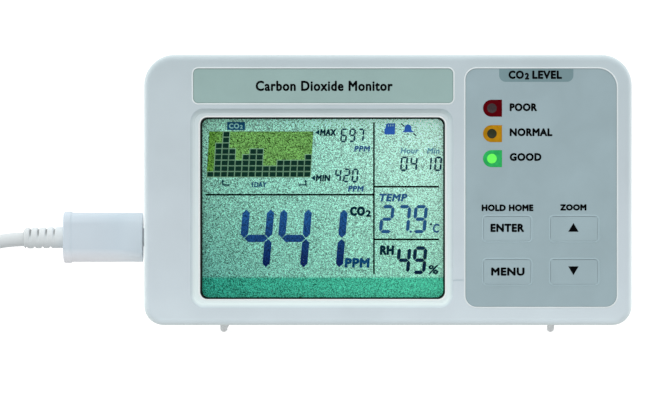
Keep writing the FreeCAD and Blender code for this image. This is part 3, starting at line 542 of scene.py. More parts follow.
def rounded_loop(left, right, bottom, top, radii):
    """Corners run bottom left, bottom right, top right, top left."""
    centres = [
        (left + radii[0], bottom + radii[0]),
        (right - radii[1], bottom + radii[1]),
        (right - radii[2], top - radii[2]),
        (left + radii[3], top - radii[3]),
    ]
    loop = []
    for corner, ((x, z), radius) in enumerate(zip(centres, radii)):
        for step in range(CORNER_STEPS + 1):
            angle = math.pi * (1 + corner / 2) + math.pi / 2 * step / CORNER_STEPS
            loop.append((x + radius * math.cos(angle), z + radius * math.sin(angle)))
    return loop


def glyph_mesh(name, text, shear):
    """The text as flat faces, of no particular size."""
    curve = bpy.data.curves.new(name, "FONT")
    curve.body = text
    curve.shear = shear
    curve.space_character = 1.1
    curve.resolution_u = 3
    holder = bpy.data.objects.new(name, curve)
    add_to_scene(holder)
    graph = bpy.context.evaluated_depsgraph_get()
    mesh = bpy.data.meshes.new_from_object(holder.evaluated_get(graph))
    bpy.data.objects.remove(holder)
    bpy.data.curves.remove(curve)
    return mesh


WEIGHT_COPIES = 8  # shifted copies that thicken a stroke
COPY_STEP = 0.0004 * MM  # each copy stands this far in front of the one before


def lettering(name, text, left, right, bottom, top, y, material, slot, weight, body="case", shear=0.0):
    """Writes the text so that it just fills the box. Weight is how far each stroke spreads, in metres."""
    glyphs = glyph_mesh(name, text, shear)
    corners = [v.co.copy() for v in glyphs.vertices]
    low_x, high_x = min(c.x for c in corners), max(c.x for c in corners)
    low_y, high_y = min(c.y for c in corners), max(c.y for c in corners)
    across = (right - left - 2 * weight) / (high_x - low_x)
    up = (top - bottom - 2 * weight) / (high_y - low_y)
    bm = bmesh.new()
    for copy, angle in enumerate(circle(WEIGHT_COPIES)):
        x = left + weight + weight * math.cos(angle)
        z = bottom + weight + weight * math.sin(angle)
        depth = y - copy * COPY_STEP
        spots = [bm.verts.new((x + (c.x - low_x) * across, depth, z + (c.y - low_y) * up)) for c in corners]
        for polygon in glyphs.polygons:
            bm.faces.new([spots[i] for i in polygon.vertices])
    return link_mesh(name, to_mesh(bm, name), material, body)


RIM_RISE = 0.08 * MM
RIM_PROFILE = [(0.0, 0.0), (0.3, RIM_RISE), (0.7, RIM_RISE), (1.0, 0.0)]  # share of the width, height
SHARPEST_CORNER = 0.1 * MM


def rim(name, corners, low, high, y, inset, wide, material, slot):
    """A thin raised line that follows a rounded outline."""
    bm = bmesh.new()
    rings = []
    for share, rise in RIM_PROFILE:
        shrink = inset + share * wide
        radii = [max(SHARPEST_CORNER, r - shrink) for r in corners]
        loop = rounded_loop(low[0] + shrink, high[0] - shrink, low[1] + shrink, high[1] - shrink, radii)
        rings.append([bm.verts.new((x, y - rise, z)) for x, z in loop])
    for outer, inner in zip(rings, rings[1:]):
        for face in bands(outer, inner):
            bm.faces.new(face)
    bmesh.ops.recalc_face_normals(bm, faces=bm.faces)
    mesh = to_mesh(bm, name)
    mesh.shade_smooth()
    return link_mesh(name, mesh, material, "case")


# ---------------- display

WINDOW_LEFT = -46.6 * MM
WINDOW_BOTTOM = 8.65 * MM
WINDOW_WIDE = 60.4 * MM
WINDOW_HIGH = 44.75 * MM
OPENING = (-46.95 * MM, 8.4 * MM), (13.95 * MM, 53.6 * MM)  # edges of the hole in the case
BORDER = (-46.85 * MM, 8.4 * MM), (13.95 * MM, 53.6 * MM)  # the dark line just inside it, a painted shadow of the gap round the window
GLASS_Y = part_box("lcd_panel")[0][1]
LAYER = 0.03 * MM  # each printed layer stands this far in front of the one behind
BAND_HIGH = 5.0 * MM
SLANT = math.tan(math.radians(5))


def on_glass(across, up):
    """A place on the display, in millimetres from the lower left corner of the window."""
    return WINDOW_LEFT + across * MM, WINDOW_BOTTOM + up * MM


def glass_bar(flat, left, right, bottom, top):
    x0, z0 = on_glass(left, bottom)
    x1, z1 = on_glass(right, top)
    flat.bar(x0, x1, z0, z1)


def glass_shape(flat, spots):
    flat.shape([on_glass(*spot) for spot in spots])


def grained(look, tone, size, low, high):
    """The tone with a different brightness, from low to high times its own, for each grain."""
    grain = look.ramp(look.speckle(size), [(0.0, grey(low)), (1.0, grey(high))])
    look.color(look.mix(1.0, tone, grain, blend="MULTIPLY"))


def glass_look():
    """Reflective display: mint ground, darker to the left, a green band along the bottom, and fine grain."""
    look = Look("display_ground", 0.45, Specular_IOR_Level=0.0)
    x, _, z = look.axes()
    across = look.between(x, WINDOW_LEFT, WINDOW_LEFT + WINDOW_WIDE)
    up = look.between(z, WINDOW_BOTTOM, WINDOW_BOTTOM + WINDOW_HIGH)
    low_stops = [(0.0, (84, 160, 148)), (0.3, (120, 192, 174)), (1.0, (150, 222, 196))]
    high_stops = [(0.0, (150, 212, 190)), (0.45, (164, 228, 210)), (1.0, (208, 255, 240))]
    low, high = (
        look.ramp(across, [(place, from_srgb(*color)) for place, color in stops])
        for stops in (low_stops, high_stops)
    )
    band = look.ramp(across, [(0.0, from_srgb(48, 154, 132)), (1.0, from_srgb(82, 204, 168))])
    band_top = WINDOW_BOTTOM + BAND_HIGH
    edge = look.between(z, band_top - 0.3 * MM, band_top + 0.5 * MM, smooth=True)
    ground = look.mix(edge, band, look.mix(up, low, high))
    # painted light: brighter under the top edge, except near the left corner, to offset the shade that the
    # deep recess casts there
    crest = look.between(up, 0.93, 0.985, smooth=True)
    painted_light_lift = look.math("MULTIPLY", crest, look.between(x, WINDOW_LEFT + 8 * MM, WINDOW_LEFT + 22 * MM))
    ground = look.mix(painted_light_lift, ground, look.mix(1.0, ground, grey(1.35), blend="MULTIPLY"))
    speckle = look.speckle(0.17 * MM)
    strong = look.ramp(speckle, [(0.0, grey(0.0)), (1.0, grey(1.96))])
    soft = look.ramp(speckle, [(0.0, grey(0.36)), (1.0, grey(1.62))])
    look.color(look.mix(1.0, ground, look.mix(across, strong, soft), blend="MULTIPLY"))
    look.bump(look.noise(0.32 * MM), 0.002 * MM)
    return look.material


def segment_look(name, top_color, bottom_color):
    """Display ink, darker towards the foot of the figures."""
    look = Look(name, Specular_IOR_Level=0.0)
    _, _, z = look.axes()
    fall = look.between(z, WINDOW_BOTTOM + 0.14 * WINDOW_HIGH, WINDOW_BOTTOM + 0.5 * WINDOW_HIGH)
    grained(look, look.mix(fall, bottom_color, top_color), 0.19 * MM, 0.35, 1.65)
    return look.material


SEGMENTS = {
    "0": "abcdef",
    "1": "bc",
    "2": "abged",
    "4": "fgbc",
    "6": "afgedc",
    "7": "abc",
    "9": "abcdfg",
}


def segment_digit(flat, digit, left, bottom, wide, high, stroke, gap):
    """Seven-segment figure. Left, bottom, wide and high are those of the outer edges, in millimetres."""
    half = stroke / 2
    x0, x1 = left + half, left + wide - half
    rows = (bottom + half, bottom + high / 2, bottom + high - half)
    (low_left, low_right), (mid_left, mid_right), (top_left, top_right) = [((x0, z), (x1, z)) for z in rows]
    ends = {
        "a": (top_left, top_right),
        "b": (mid_right, top_right),
        "c": (low_right, mid_right),
        "d": (low_left, low_right),
        "e": (low_left, mid_left),
        "f": (mid_left, top_left),
        "g": (mid_left, mid_right),
    }
    for name in SEGMENTS[digit]:
        start, end = (Vector(p) for p in ends[name])
        along = (end - start).normalized()
        side = Vector((-along.y, along.x)) * half
        near, far = start + along * gap, end - along * gap
        outline = [
            near,
            near + along * half - side,
            far - along * half - side,
            far,
            far - along * half + side,
            near + along * half + side,
        ]
        glass_shape(flat, [(p.x + SLANT * (p.y - bottom), p.y) for p in outline])


def segment_number(flat, text, left, bottom, pitch, *size):
    for place, digit in enumerate(text):
        segment_digit(flat, digit, left + place * pitch, bottom, *size)


CHART_HEIGHTS = [1, 6, 8, 5, 3, 4, 5, 5, 2, 2, 3, 3, 3, 3, 4]
CHART_ROWS = 8
CHART_LEFT = 1.15
CHART_BOTTOM = 30.08
CHART_WIDE = 25.95
CHART_HIGH = 11.42
CHART_SLANT = 0.06


def chart_cell(flat, column, row, trim):
    """One cell of the slanted chart, trimmed on every side."""
    cell_wide = CHART_WIDE / len(CHART_HEIGHTS)
    cell_high = CHART_HIGH / CHART_ROWS
    spots = []
    for u, v in ((0, 0), (1, 0), (1, 1), (0, 1)):
        up = (row + v) * cell_high + trim * (1 - 2 * v)
        across = (column + u) * cell_wide + trim * (1 - 2 * u) + CHART_SLANT * up
        spots.append((CHART_LEFT + across, CHART_BOTTOM + up))
    glass_shape(flat, spots)


def chart_look():
    """Olive field of the chart, darker at the left edge."""
    look = Look("chart_field", Specular_IOR_Level=0.0)
    x, _, _ = look.axes()
    left, _ = on_glass(CHART_LEFT, 0)
    across = look.between(x, left, left + 5 * MM)
    tone = look.mix(across, from_srgb(82, 134, 44), from_srgb(106, 160, 84))
    grained(look, tone, 0.2 * MM, 0.02, 2.1)
    return look.material


PRINT_Y = GLASS_Y - 2 * LAYER
OVERPRINT_Y = GLASS_Y - 3 * LAYER
INK_THICK = 0.5 * LAYER
FIGURE_BOTTOM, CLOCK_BOTTOM = 6.57, 31.6
BIG_FIGURE = 7.9, 16.5, 1.82, 0.14  # width, height, stroke and gap
TREND_FIGURE = 1.62, 3.45, 0.42, 0.05
CLOCK_FIGURE = 1.8, 3.65, 0.44, 0.05


def display_piece(flat, name, y, material):
    flat.build(name, y, INK_THICK, material, "case", "lcd_glass")


def make_ground():
    low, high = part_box("lcd_panel")
    ground = Flat()
    ground.bar(low[0], high[0], low[2], high[2])
    display_piece(ground, "display_ground", GLASS_Y - LAYER, glass_look())

    lines = Flat()
    glass_bar(lines, 42.7, 43.1, 5.97, 43.75)
    glass_bar(lines, 0.93, 42.9, 25.51, 25.93)
    glass_bar(lines, 42.9, 59.1, 27.5, 27.92)
    glass_bar(lines, 42.9, 59.1, 14.36, 14.78)
    display_piece(lines, "display_lines", PRINT_Y, ink("line_ink", from_srgb(2, 10, 8)))

    # painted shadow: a dark line round the inside of the window, where the gap between case and display lies
    # in shade
    edge_ink = ink("edge_ink", (0.004, 0.012, 0.011))
    corners = [2.0 * MM] * 4
    rim("display_border", corners, *BORDER, GLASS_Y - 4 * LAYER, -0.3 * MM, 0.68 * MM, edge_ink, "lcd_glass")


def make_chart():
    lean = CHART_SLANT * CHART_HIGH
    right, top = CHART_LEFT + CHART_WIDE, CHART_BOTTOM + CHART_HIGH
    field = Flat()
    base = [(CHART_LEFT, CHART_BOTTOM), (right, CHART_BOTTOM)]
    glass_shape(field, base + [(right + lean, top), (CHART_LEFT + lean, top)])
    display_piece(field, "chart_field", PRINT_Y, chart_look())

    lattice = Flat()
    cells = Flat()
    for column, height in enumerate(CHART_HEIGHTS):
        for row in range(height):
            chart_cell(lattice, column, row, -0.04)
            chart_cell(cells, column, row, 0.125)
    lattice_ink = ink("lattice_ink", from_srgb(140, 190, 155))
    display_piece(lattice, "chart_lattice", PRINT_Y - 0.3 * LAYER, lattice_ink)
    display_piece(cells, "chart_cells", OVERPRINT_Y, ink("cell_ink", from_srgb(16, 52, 42), spread=0.35))


def make_figures(temperature_ink):
    big = Flat()
    segment_number(big, "44", 8.85, FIGURE_BOTTOM, 9.4, *BIG_FIGURE)
    segment_digit(big, "1", 27.15, FIGURE_BOTTOM, *BIG_FIGURE)
    big_ink = segment_look("big_ink", from_srgb(37, 90, 150), from_srgb(6, 20, 80))
    display_piece(big, "co2_figures", PRINT_Y, big_ink)

    small = Flat()
    segment_number(small, "697", 34.42, 38.8, 2.12, *TREND_FIGURE)
    segment_number(small, "420", 33.0, 28.8, 2.12, *TREND_FIGURE)
    segment_number(small, "04", 49.35, CLOCK_BOTTOM, 2.42, *CLOCK_FIGURE)
    segment_digit(small, "1", 55.35, CLOCK_BOTTOM, *CLOCK_FIGURE)
    segment_digit(small, "0", 57.85, CLOCK_BOTTOM, *CLOCK_FIGURE)
    for up in (32.6, 34.45):
        small.disc(*on_glass(55.1 + SLANT * (up - CLOCK_BOTTOM), up), 0.16 * MM, 10)
    segment_number(small, "49", 48.25, 5.9, 4.0, 3.45, 6.95, 0.9, 0.06)
    small_ink = segment_look("small_ink", from_srgb(22, 62, 80), from_srgb(10, 34, 60))
    display_piece(small, "small_figures", PRINT_Y, small_ink)

    temperature = Flat()
    segment_number(temperature, "279", 44.1, 16.1, 4.15, 3.4, 7.05, 0.84, 0.08)
    temperature.disc(*on_glass(52.05, 16.5), 0.3 * MM, 12)
    display_piece(temperature, "temperature_figures", PRINT_Y, temperature_ink)


def make_display_words(pale_ink):
    navy = ink("navy_ink", from_srgb(6, 42, 56))
    blue = ink("blue_ink", from_srgb(24, 82, 118))
    faint = ink("faint_ink", from_srgb(96, 158, 178))
    light = ink("light_ink", from_srgb(150, 214, 206))
    unit_color = from_srgb(18, 74, 118)
    unit = segment_look("unit_ink", unit_color, unit_color)
    tag = Flat()
    glass_bar(tag, 6.3, 10.75, 41.85, 43.85)
    display_piece(tag, "chart_tag", PRINT_Y, blue)
    # name, text, left, right, bottom and top on the display, ink, weight, shear
    words = [
        ("tag_co", "CO", 6.75, 9.3, 42.2, 43.5, light, 0.06, 0.0),
        ("tag_two", "2", 9.5, 10.2, 42.2, 43.1, light, 0.04, 0.0),
        ("day", "1DAY", 12.4, 16.2, 27.56, 28.88, blue, 0.07, 0.12),
        ("max", "MAX", 29.45, 33.5, 40.4, 42.1, navy, 0.11, 0.08),
        ("max_unit", "PPM", 37.95, 42.0, 36.45, 37.9, pale_ink, 0.09, 0.15),
        ("min", "MIN", 28.4, 32.05, 29.05, 30.7, navy, 0.11, 0.08),
        ("min_unit", "PPM", 36.4, 40.4, 26.45, 27.95, pale_ink, 0.09, 0.15),
        ("hour", "Hour", 49.5, 54.1, 35.95, 37.4, faint, 0.07, 0.2),
        ("minute", "Min", 56.1, 59.3, 35.95, 37.4, faint, 0.07, 0.2),
        ("temp", "TEMP", 44.3, 51.25, 24.05, 25.95, pale_ink, 0.12, 0.2),
        ("celsius", "C", 57.6, 59.2, 16.2, 18.5, pale_ink, 0.09, 0.1),
        ("rh", "RH", 44.35, 47.95, 10.67, 13.1, navy, 0.19, 0.05),
        ("percent", "%", 56.5, 58.95, 5.9, 8.2, navy, 0.09, 0.1),
        ("co", "CO", 36.9, 40.7, 20.4, 22.8, navy, 0.2, 0.0),
        ("two", "2", 40.85, 42.2, 20.2, 21.9, navy, 0.13, 0.0),
        ("ppm", "PPM", 35.6, 41.85, 7.5, 9.95, unit, 0.19, 0.05),
    ]
    for name, text, left, right, bottom, top, material, weight, shear in words:
        x0, z0 = on_glass(left, bottom)
        x1, z1 = on_glass(right, top)
        y = OVERPRINT_Y if name.startswith("tag") else PRINT_Y
        lettering(f"display_{name}", text, x0, x1, z0, z1, y, material, "lcd_glass", weight * MM, shear=shear)


def make_symbols():
    """Memory card, crossed bell, chart end arrows and the pointers beside MAX and MIN."""
    navy = ink("symbol_navy", from_srgb(14, 62, 74))
    blue = ink("symbol_blue", from_srgb(52, 104, 196))
    marks = Flat()
    for left, middle in ((28.3, 41.25), (27.25, 29.9)):
        glass_shape(marks, [(left, middle), (left + 1.0, middle - 0.7), (left + 1.0, middle + 0.7)])
    for corner, end in ((5.2, 6.9), (25.9, 24.2)):
        glass_bar(marks, min(corner, end), max(corner, end), 28.0, 28.32)
        glass_bar(marks, corner - 0.16, corner + 0.16, 28.0, 29.0)
        glass_shape(marks, [(corner - 0.45, 28.9), (corner + 0.45, 28.9), (corner, 29.5)])
    display_piece(marks, "display_marks", PRINT_Y, navy)

    symbols = Flat()
    # memory card: stepped outline with a cut corner
    card = [(45.55, 40.75), (48.1, 40.75), (48.2, 43.5), (46.3, 43.5)]
    card += [(45.95, 43.2), (45.8, 42.4), (45.5, 42.0)]
    glass_shape(symbols, card)
    # bell: flared rim and dome
    arc = [math.pi * i / 12 for i in range(1, 12)]
    dome = [(51.4 + 0.85 * math.cos(a), 42.3 + 0.95 * math.sin(a)) for a in arc]
    rim_right = [(53.0, 41.3), (52.3, 41.75), (52.25, 42.3)]
    rim_left = [(50.55, 42.3), (50.5, 41.75), (49.85, 41.3)]
    glass_shape(symbols, rim_right + dome + rim_left)
    display_piece(symbols, "display_symbols", PRINT_Y, blue)

    contacts = Flat()
    for left in (46.45, 47.0, 47.55):
        glass_bar(contacts, left, left + 0.2, 42.75, 43.2)
    contact_ink = ink("contact_ink", from_srgb(160, 214, 206))
    display_piece(contacts, "card_contacts", PRINT_Y - LAYER, contact_ink)

    # the two ends of the stroke across the bell, its clapper, and the degree mark
    strokes = Flat()
    for start, end in (((49.6, 43.5), (50.55, 42.75)), ((52.7, 41.0), (53.5, 40.4))):
        a, b = Vector(on_glass(*start)), Vector(on_glass(*end))
        side = Vector((-(b - a).y, (b - a).x)).normalized() * 0.15 * MM
        strokes.shape([tuple(a - side), tuple(b - side), tuple(b + side), tuple(a + side)])
    strokes.disc(*on_glass(51.45, 40.8), 0.16 * MM, 10)
    strokes.disc(*on_glass(57.15, 18.35), 0.3 * MM, 12)
    display_piece(strokes, "display_strokes", PRINT_Y, navy)


def make_display():
    temperature_ink = ink("temperature_ink", from_srgb(44, 92, 140), spread=0.3)
    make_ground()
    make_chart()
    make_figures(temperature_ink)
    make_display_words(temperature_ink)
    make_symbols()


make_display()


# ---------------- panel, tab, labels

PANEL_LOW, PANEL_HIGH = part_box("keypad_panel")
PANEL_Y = PANEL_LOW[1]
PRINT = 0.012 * MM  # thickness of a printed layer
LEDGE_Y = FRONT_Y + 1.19 * MM  # floor of the recess round the display
KEY_HALF_WIDE = 5.95 * MM
KEY_HALF_HIGH = 3.15 * MM
WORDS_Y = PANEL_Y - 3.2 * PRINT

# painted highlight: lighter plastic for the lips round the inlays
rim_plastic = moulded("rim_plastic", from_srgb(228, 238, 240), roughness=0.35).material
# painted highlight: the crease round each key is lighter than the panel film
crease_film = printed_film("crease_film", shade(PANEL, 1.16))
# painted shadow: darker film for the lines just inside the inlay lips, where the lips shade the sunken film
groove_film = printed_film("groove_film", shade(PANEL, 0.82))
title_groove_film = printed_film("title_groove_film", shade(TITLE, 0.68))
# painted highlight: near-white lip round the display window
lip_plastic = moulded("lip_plastic", from_srgb(250, 254, 255), roughness=0.35).material
PANEL_CORNERS = [2.9 * MM, 2.9 * MM, 4.8 * MM, 2.9 * MM]
TITLE_CORNERS = [1.4 * MM] * 4
WINDOW_CORNERS = [1.8 * MM] * 4
CREASE_CORNERS = [0.9 * MM] * 4


def make_inlay_rims():
    """Raised lips round both inlays, lighter than the case as a painted highlight, with a painted shadow line
    just inside each; a near-white painted highlight lip round the display window; and the raised crease that
    the film has round each key, lighter than the film as a painted highlight.
    """
    for name, node, corners, inlay_shade_film, slot in (
        ("panel", "keypad_panel", PANEL_CORNERS, groove_film, "panel_inlay"),
        ("title", "title_plate", TITLE_CORNERS, title_groove_film, "title_inlay"),
    ):
        low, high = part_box(node)
        sides = (low[0], low[2]), (high[0], high[2])
        lip_y, shade_line_y = FRONT_Y - 0.01 * MM, low[1] + 0.06 * MM
        rim(f"{name}_rim", corners, *sides, lip_y, -0.2 * MM, 0.34 * MM, rim_plastic, "case_plastic")
        rim(f"{name}_groove", corners, *sides, shade_line_y, 0.12 * MM, 0.26 * MM, inlay_shade_film, slot)
    rim("window_lip", WINDOW_CORNERS, *OPENING, LEDGE_Y, -0.34 * MM, 0.3 * MM, lip_plastic, "case_plastic")
    for name in ("enter", "menu", "up", "down"):
        low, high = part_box(f"key_{name}")
        x, z = (low[0] + high[0]) / 2, (low[2] + high[2]) / 2
        sides = (x - KEY_HALF_WIDE, z - KEY_HALF_HIGH), (x + KEY_HALF_WIDE, z + KEY_HALF_HIGH)
        y = PANEL_Y - 0.02 * MM
        rim(f"crease_{name}", CREASE_CORNERS, *sides, y, -0.34 * MM, 0.4 * MM, crease_film, "panel_inlay")


def make_tab():
    """Darker tab at the top of the panel, its lower corners rounded."""
    left, right = 27.3 * MM, 45.7 * MM
    top = PANEL_HIGH[2] - 0.25 * MM
    bottom = 62.35 * MM
    small, large = 0.05 * MM, 1.6 * MM
    tab = Flat()
    tab.shape(rounded_loop(left, right, bottom, top, [large, large, small, small]))
    tab.build("level_tab", PANEL_Y - 2 * PRINT, 1.9 * PRINT, tab_film, "case", "panel_inlay")


def make_labels():
    # name, text, left, right, bottom, top, weight, body
    labels = [
        ("level", "CO", 29.6, 33.45, 63.05, 65.15, 0.14, "case"),
        ("level_two", "2", 33.65, 34.75, 62.9, 64.6, 0.14, "case"),
        ("level_word", "LEVEL", 35.5, 42.9, 63.05, 65.15, 0.14, "case"),
        ("poor", "POOR", 29.9, 36.7, 55.05, 57.05, 0.135, "case"),
        ("normal", "NORMAL", 29.9, 40.5, 48.85, 50.85, 0.135, "case"),
        ("good", "GOOD", 29.9, 37.8, 42.7, 44.7, 0.135, "case"),
        ("hold", "HOLD HOME", 22.95, 35.8, 30.25, 31.95, 0.135, "case"),
        ("zoom", "ZOOM", 42.4, 48.95, 30.4, 32.0, 0.135, "case"),
        ("enter", "ENTER", 25.15, 33.5, 25.1, 27.15, 0.14, "key_enter_body"),
        ("menu", "MENU", 25.3, 33.6, 14.25, 16.3, 0.14, "key_menu_body"),
    ]
    for name, text, left, right, bottom, top, weight, body in labels:
        sides = left * MM, right * MM, bottom * MM, top * MM
        lettering(f"label_{name}", text, *sides, WORDS_Y, black_ink, "panel_inlay", weight * MM, body)


def make_key_marks():
    """Triangles on the up and down keys."""
    x, half, rise = 45.72 * MM, 1.28 * MM, 1.08 * MM
    for name, z, way in (("up", 26.25 * MM, 1), ("down", 15.5 * MM, -1)):
        mark = Flat()
        mark.shape([(x - half, z - way * rise), (x + half, z - way * rise), (x, z + way * rise)])
        mark.build(f"mark_{name}", WORDS_Y, PRINT, black_ink, f"key_{name}_body", "panel_inlay")


def make_title():
    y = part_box("title_plate")[0][1] - 2 * PRINT
    middle = -16.1 * MM
    half = 17.0 * MM
    sides = middle - half, middle + half, 60.05 * MM, 62.65 * MM
    lettering("title_words", "Carbon Dioxide Monitor", *sides, y, black_ink, "title_inlay", 0.12 * MM)


LAMP_X = 25.5 * MM
LAMP_SIDES = 28
LAMP_DOME = [(0.5 * MM, 0.09 * MM), (0.9 * MM, 0.06 * MM), (1.2 * MM, 0.01 * MM)]  # radius, height
LAMP_TIP = 0.1 * MM
LAMP_SPOTS = {
    "poor": (from_srgb(66, 52, 54), 0.0),
    "normal": (from_srgb(46, 52, 32), 0.0),
    "good": (from_srgb(90, 235, 90), 0.35),
}


def make_lamp_spots():
    """The lamps as they show through their tinted windows: two dark, the green one lit."""
    for name, (color, glow) in LAMP_SPOTS.items():
        low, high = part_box(f"indicator_window_{name}")
        z = (low[2] + high[2]) / 2
        look = Look(f"spot_{name}", 0.2, Specular_IOR_Level=0.1)
        look.color(look.ramp(look.noise(0.5 * MM), [(0.3, shade(color, 0.8)), (0.7, color)]))
        if glow:
            look.glow(from_srgb(130, 250, 90), glow)
        bm = bmesh.new()
        centre = bm.verts.new((LAMP_X, low[1] - LAMP_TIP, z))
        rings = []
        for radius, rise in LAMP_DOME:
            y = low[1] - rise
            spots = [(LAMP_X + radius * math.cos(a), y, z + radius * math.sin(a)) for a in circle(LAMP_SIDES)]
            rings.append([bm.verts.new(spot) for spot in spots])
        for i in range(LAMP_SIDES):
            bm.faces.new([centre, rings[0][i], rings[0][(i + 1) % LAMP_SIDES]])
        for inner, outer in zip(rings, rings[1:]):
            for face in bands(inner, outer):
                bm.faces.new(face)
        bmesh.ops.recalc_face_normals(bm, faces=bm.faces)
        mesh = to_mesh(bm, f"spot_{name}")
        mesh.shade_smooth()
        link_mesh(f"lamp_spot_{name}", mesh, look.material, "case")


make_inlay_rims()
make_tab()
make_labels()
make_key_marks()
make_title()
make_lamp_spots()


# ---------------- rear


def make_rating_plate():
    """A blank silver label on the rear cover, with a printed frame and empty rows."""
    _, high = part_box("rear_cover")
    y = high[1] + 0.05 * MM
    silver = metal("label_foil", (0.7, 0.71, 0.72), roughness=0.42)
    left, right, bottom, top = 18 * MM, 46 * MM, 9 * MM, 23 * MM
    plate = Flat()
    plate.shape(rounded_loop(left, right, bottom, top, [1.2 * MM] * 4))
    plate.build("rating_plate", y, 0.04 * MM, silver, "case", "case_plastic")
    line = 0.15 * MM
    lines = Flat()
    for z in (bottom + 1 * MM, bottom + 5 * MM, bottom + 9 * MM, top - 1.15 * MM):
        lines.bar(left + 1 * MM, right - 1 * MM, z, z + line)
    for x in (left + 1 * MM, left + 10 * MM, right - 1.15 * MM):
        lines.bar(x, x + line, bottom + 1 * MM, top - 1 * MM)
    lines.build("rating_lines", y + 0.02 * MM, 0.04 * MM, black_ink, "case", "case_plastic")


make_rating_plate()


# ---------------- plug and feet


def loft(name, rings, material, body):
    """Skins closed rings of equal length and caps both ends."""
    bm = bmesh.new()
    rows = [[bm.verts.new(point) for point in ring] for ring in rings]
    for near, far in zip(rows, rows[1:]):
        for face in bands(near, far):
            bm.faces.new(face)
    for face in bm.faces:
        face.smooth = True
    for row in (rows[0], rows[-1]):
        cap = bm.faces.new(row)
        for edge in cap.edges:
            edge.smooth = False
    bmesh.ops.recalc_face_normals(bm, faces=bm.faces)
    return link_mesh(name, to_mesh(bm, name), material, body)


def plug_look():
    """Plug plastic with painted light: paler along its lower edge, which faces away from the lights, paler
    towards the case, and palest on the nose, which sits in the shade of the gap.
    """
    look = moulded("plug_soft", PLUG, 0.36, grain=0.3 * MM, spread=0.02)
    x, _, z = look.axes()
    # painted light on the lower edge, the end near the case and the nose
    foot = look.between(z, PLUG_Z - 2.8 * MM, PLUG_Z - 5.4 * MM)
    end = look.between(x, -68 * MM, -62 * MM)
    nose = look.between(x, -61.96 * MM, -61.9 * MM)
    painted_light_share = look.math("MAXIMUM", look.math("MAXIMUM", foot, nose), look.math("MULTIPLY", end, 0.35))
    look.color(look.mix(painted_light_share, look.base(), from_srgb(248, 250, 255)))
    return look.material


PLUG_ROUNDING = 0.82  # corner radius as a share of half the thickness
# x, half the height and half the thickness, in millimetres: nose, body, collar
PLUG_STATIONS = [
    (-61.02, 2.3, 0.7),
    (-61.9, 2.3, 0.7),
    (-61.92, 6.2, 3.78),
    (-61.94, 6.22, 3.8),
    (-79.5, 6.26, 3.82),
    (-79.7, 6.3, 3.86),
    (-79.9, 6.5, 4.02),
    (-80.1, 6.54, 4.06),
    (-81.3, 6.54, 4.06),
    (-81.65, 6.4, 3.96),
    (-81.8, 6.05, 3.6),
]


def make_plug_body():
    """Overmoulded plug: a short nose, a rounded body, and a low collar at the cord end."""
    rings = []
    for x, tall, thick in PLUG_STATIONS:
        loop = rounded_loop(-thick, thick, -tall, tall, [PLUG_ROUNDING * thick] * 4)
        rings.append([(x * MM, PLUG_Y + y * MM, PLUG_Z + z * MM) for y, z in loop])
    body = loft("plug_body", rings, plug_look(), "lead_body")
    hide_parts("usb_plug_body")
    return body


def relief_look():
    """Cable plastic with painted shade in the bottom of the grooves."""
    look = moulded("relief_pvc", shade(CABLE, 1.05), 0.5, grain=0.3 * MM, depth=0.01 * MM, spread=0.06)
    _, y, z = look.axes()
    # painted shade: darker near the axis, in the bottom of each groove
    off_y = look.math("POWER", look.math("SUBTRACT", y, PLUG_Y), 2.0)
    off_z = look.math("POWER", look.math("SUBTRACT", z, PLUG_Z - 0.12 * MM), 2.0)
    reach = look.math("SQRT", look.math("ADD", off_y, off_z))
    unshaded_mask = look.between(reach, 1.95 * MM, 2.35 * MM, smooth=True)
    look.color(look.mix(unshaded_mask, from_srgb(165, 170, 171), look.base()))
    return look.material


# in millimetres
RELIEF_START, RELIEF_END = -81.5, -91.9
RELIEF_RADIUS, RELIEF_TAPER, RELIEF_ROUNDING, RELIEF_DROOP = 2.72, 0.1, 0.5, 0.25
GROOVES = [-84.2, -86.2, -88.2, -90.2]
GROOVE_DEPTH = 0.95
GROOVE_WIDE = 0.24


def groove_cut(x, angle):
    upper = max(0.0, math.cos(angle - 0.3 * math.pi)) ** 2
    lower = max(0.0, math.cos(angle + 0.7 * math.pi)) ** 2
    cut = 0.0
    for groove in GROOVES:
        cut += GROOVE_DEPTH * upper * math.exp(-(((x - groove) / GROOVE_WIDE) ** 2))
        cut += GROOVE_DEPTH * lower * math.exp(-(((x - groove + 1) / GROOVE_WIDE) ** 2))
    return cut


def make_plug_relief():
    """Ribbed sleeve. Each groove is cut deepest on one side, and the sides alternate."""
    steps = 80
    rings = []
    for step in range(steps + 1):
        share = step / steps
        x = RELIEF_START + (RELIEF_END - RELIEF_START) * share
        radius = RELIEF_RADIUS - RELIEF_TAPER * share - RELIEF_ROUNDING * smooth_step((share - 0.96) / 0.04)
        middle_z = PLUG_Z - RELIEF_DROOP * share * MM
        ring = []
        for angle in circle(36):
            reach = (radius - groove_cut(x, angle)) * MM
            ring.append((x * MM, PLUG_Y - reach * math.cos(angle), middle_z + reach * math.sin(angle)))
        rings.append(ring)
    relief = loft("plug_relief", rings, relief_look(), "lead_body")
    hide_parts("usb_plug_relief")
    return relief


ROD_RADIUS = 0.9 * MM
ROD_BEND = 1.2 * MM
BEND_STEPS = 9
JOG_STEPS = 3  # steps of the bend over which the rod moves aside
LEG_STEPS = 8
TIP_ROUNDING = [(0.85, 0.35), (0.45, 0.75)]  # share of the radius, and how far on, in radii


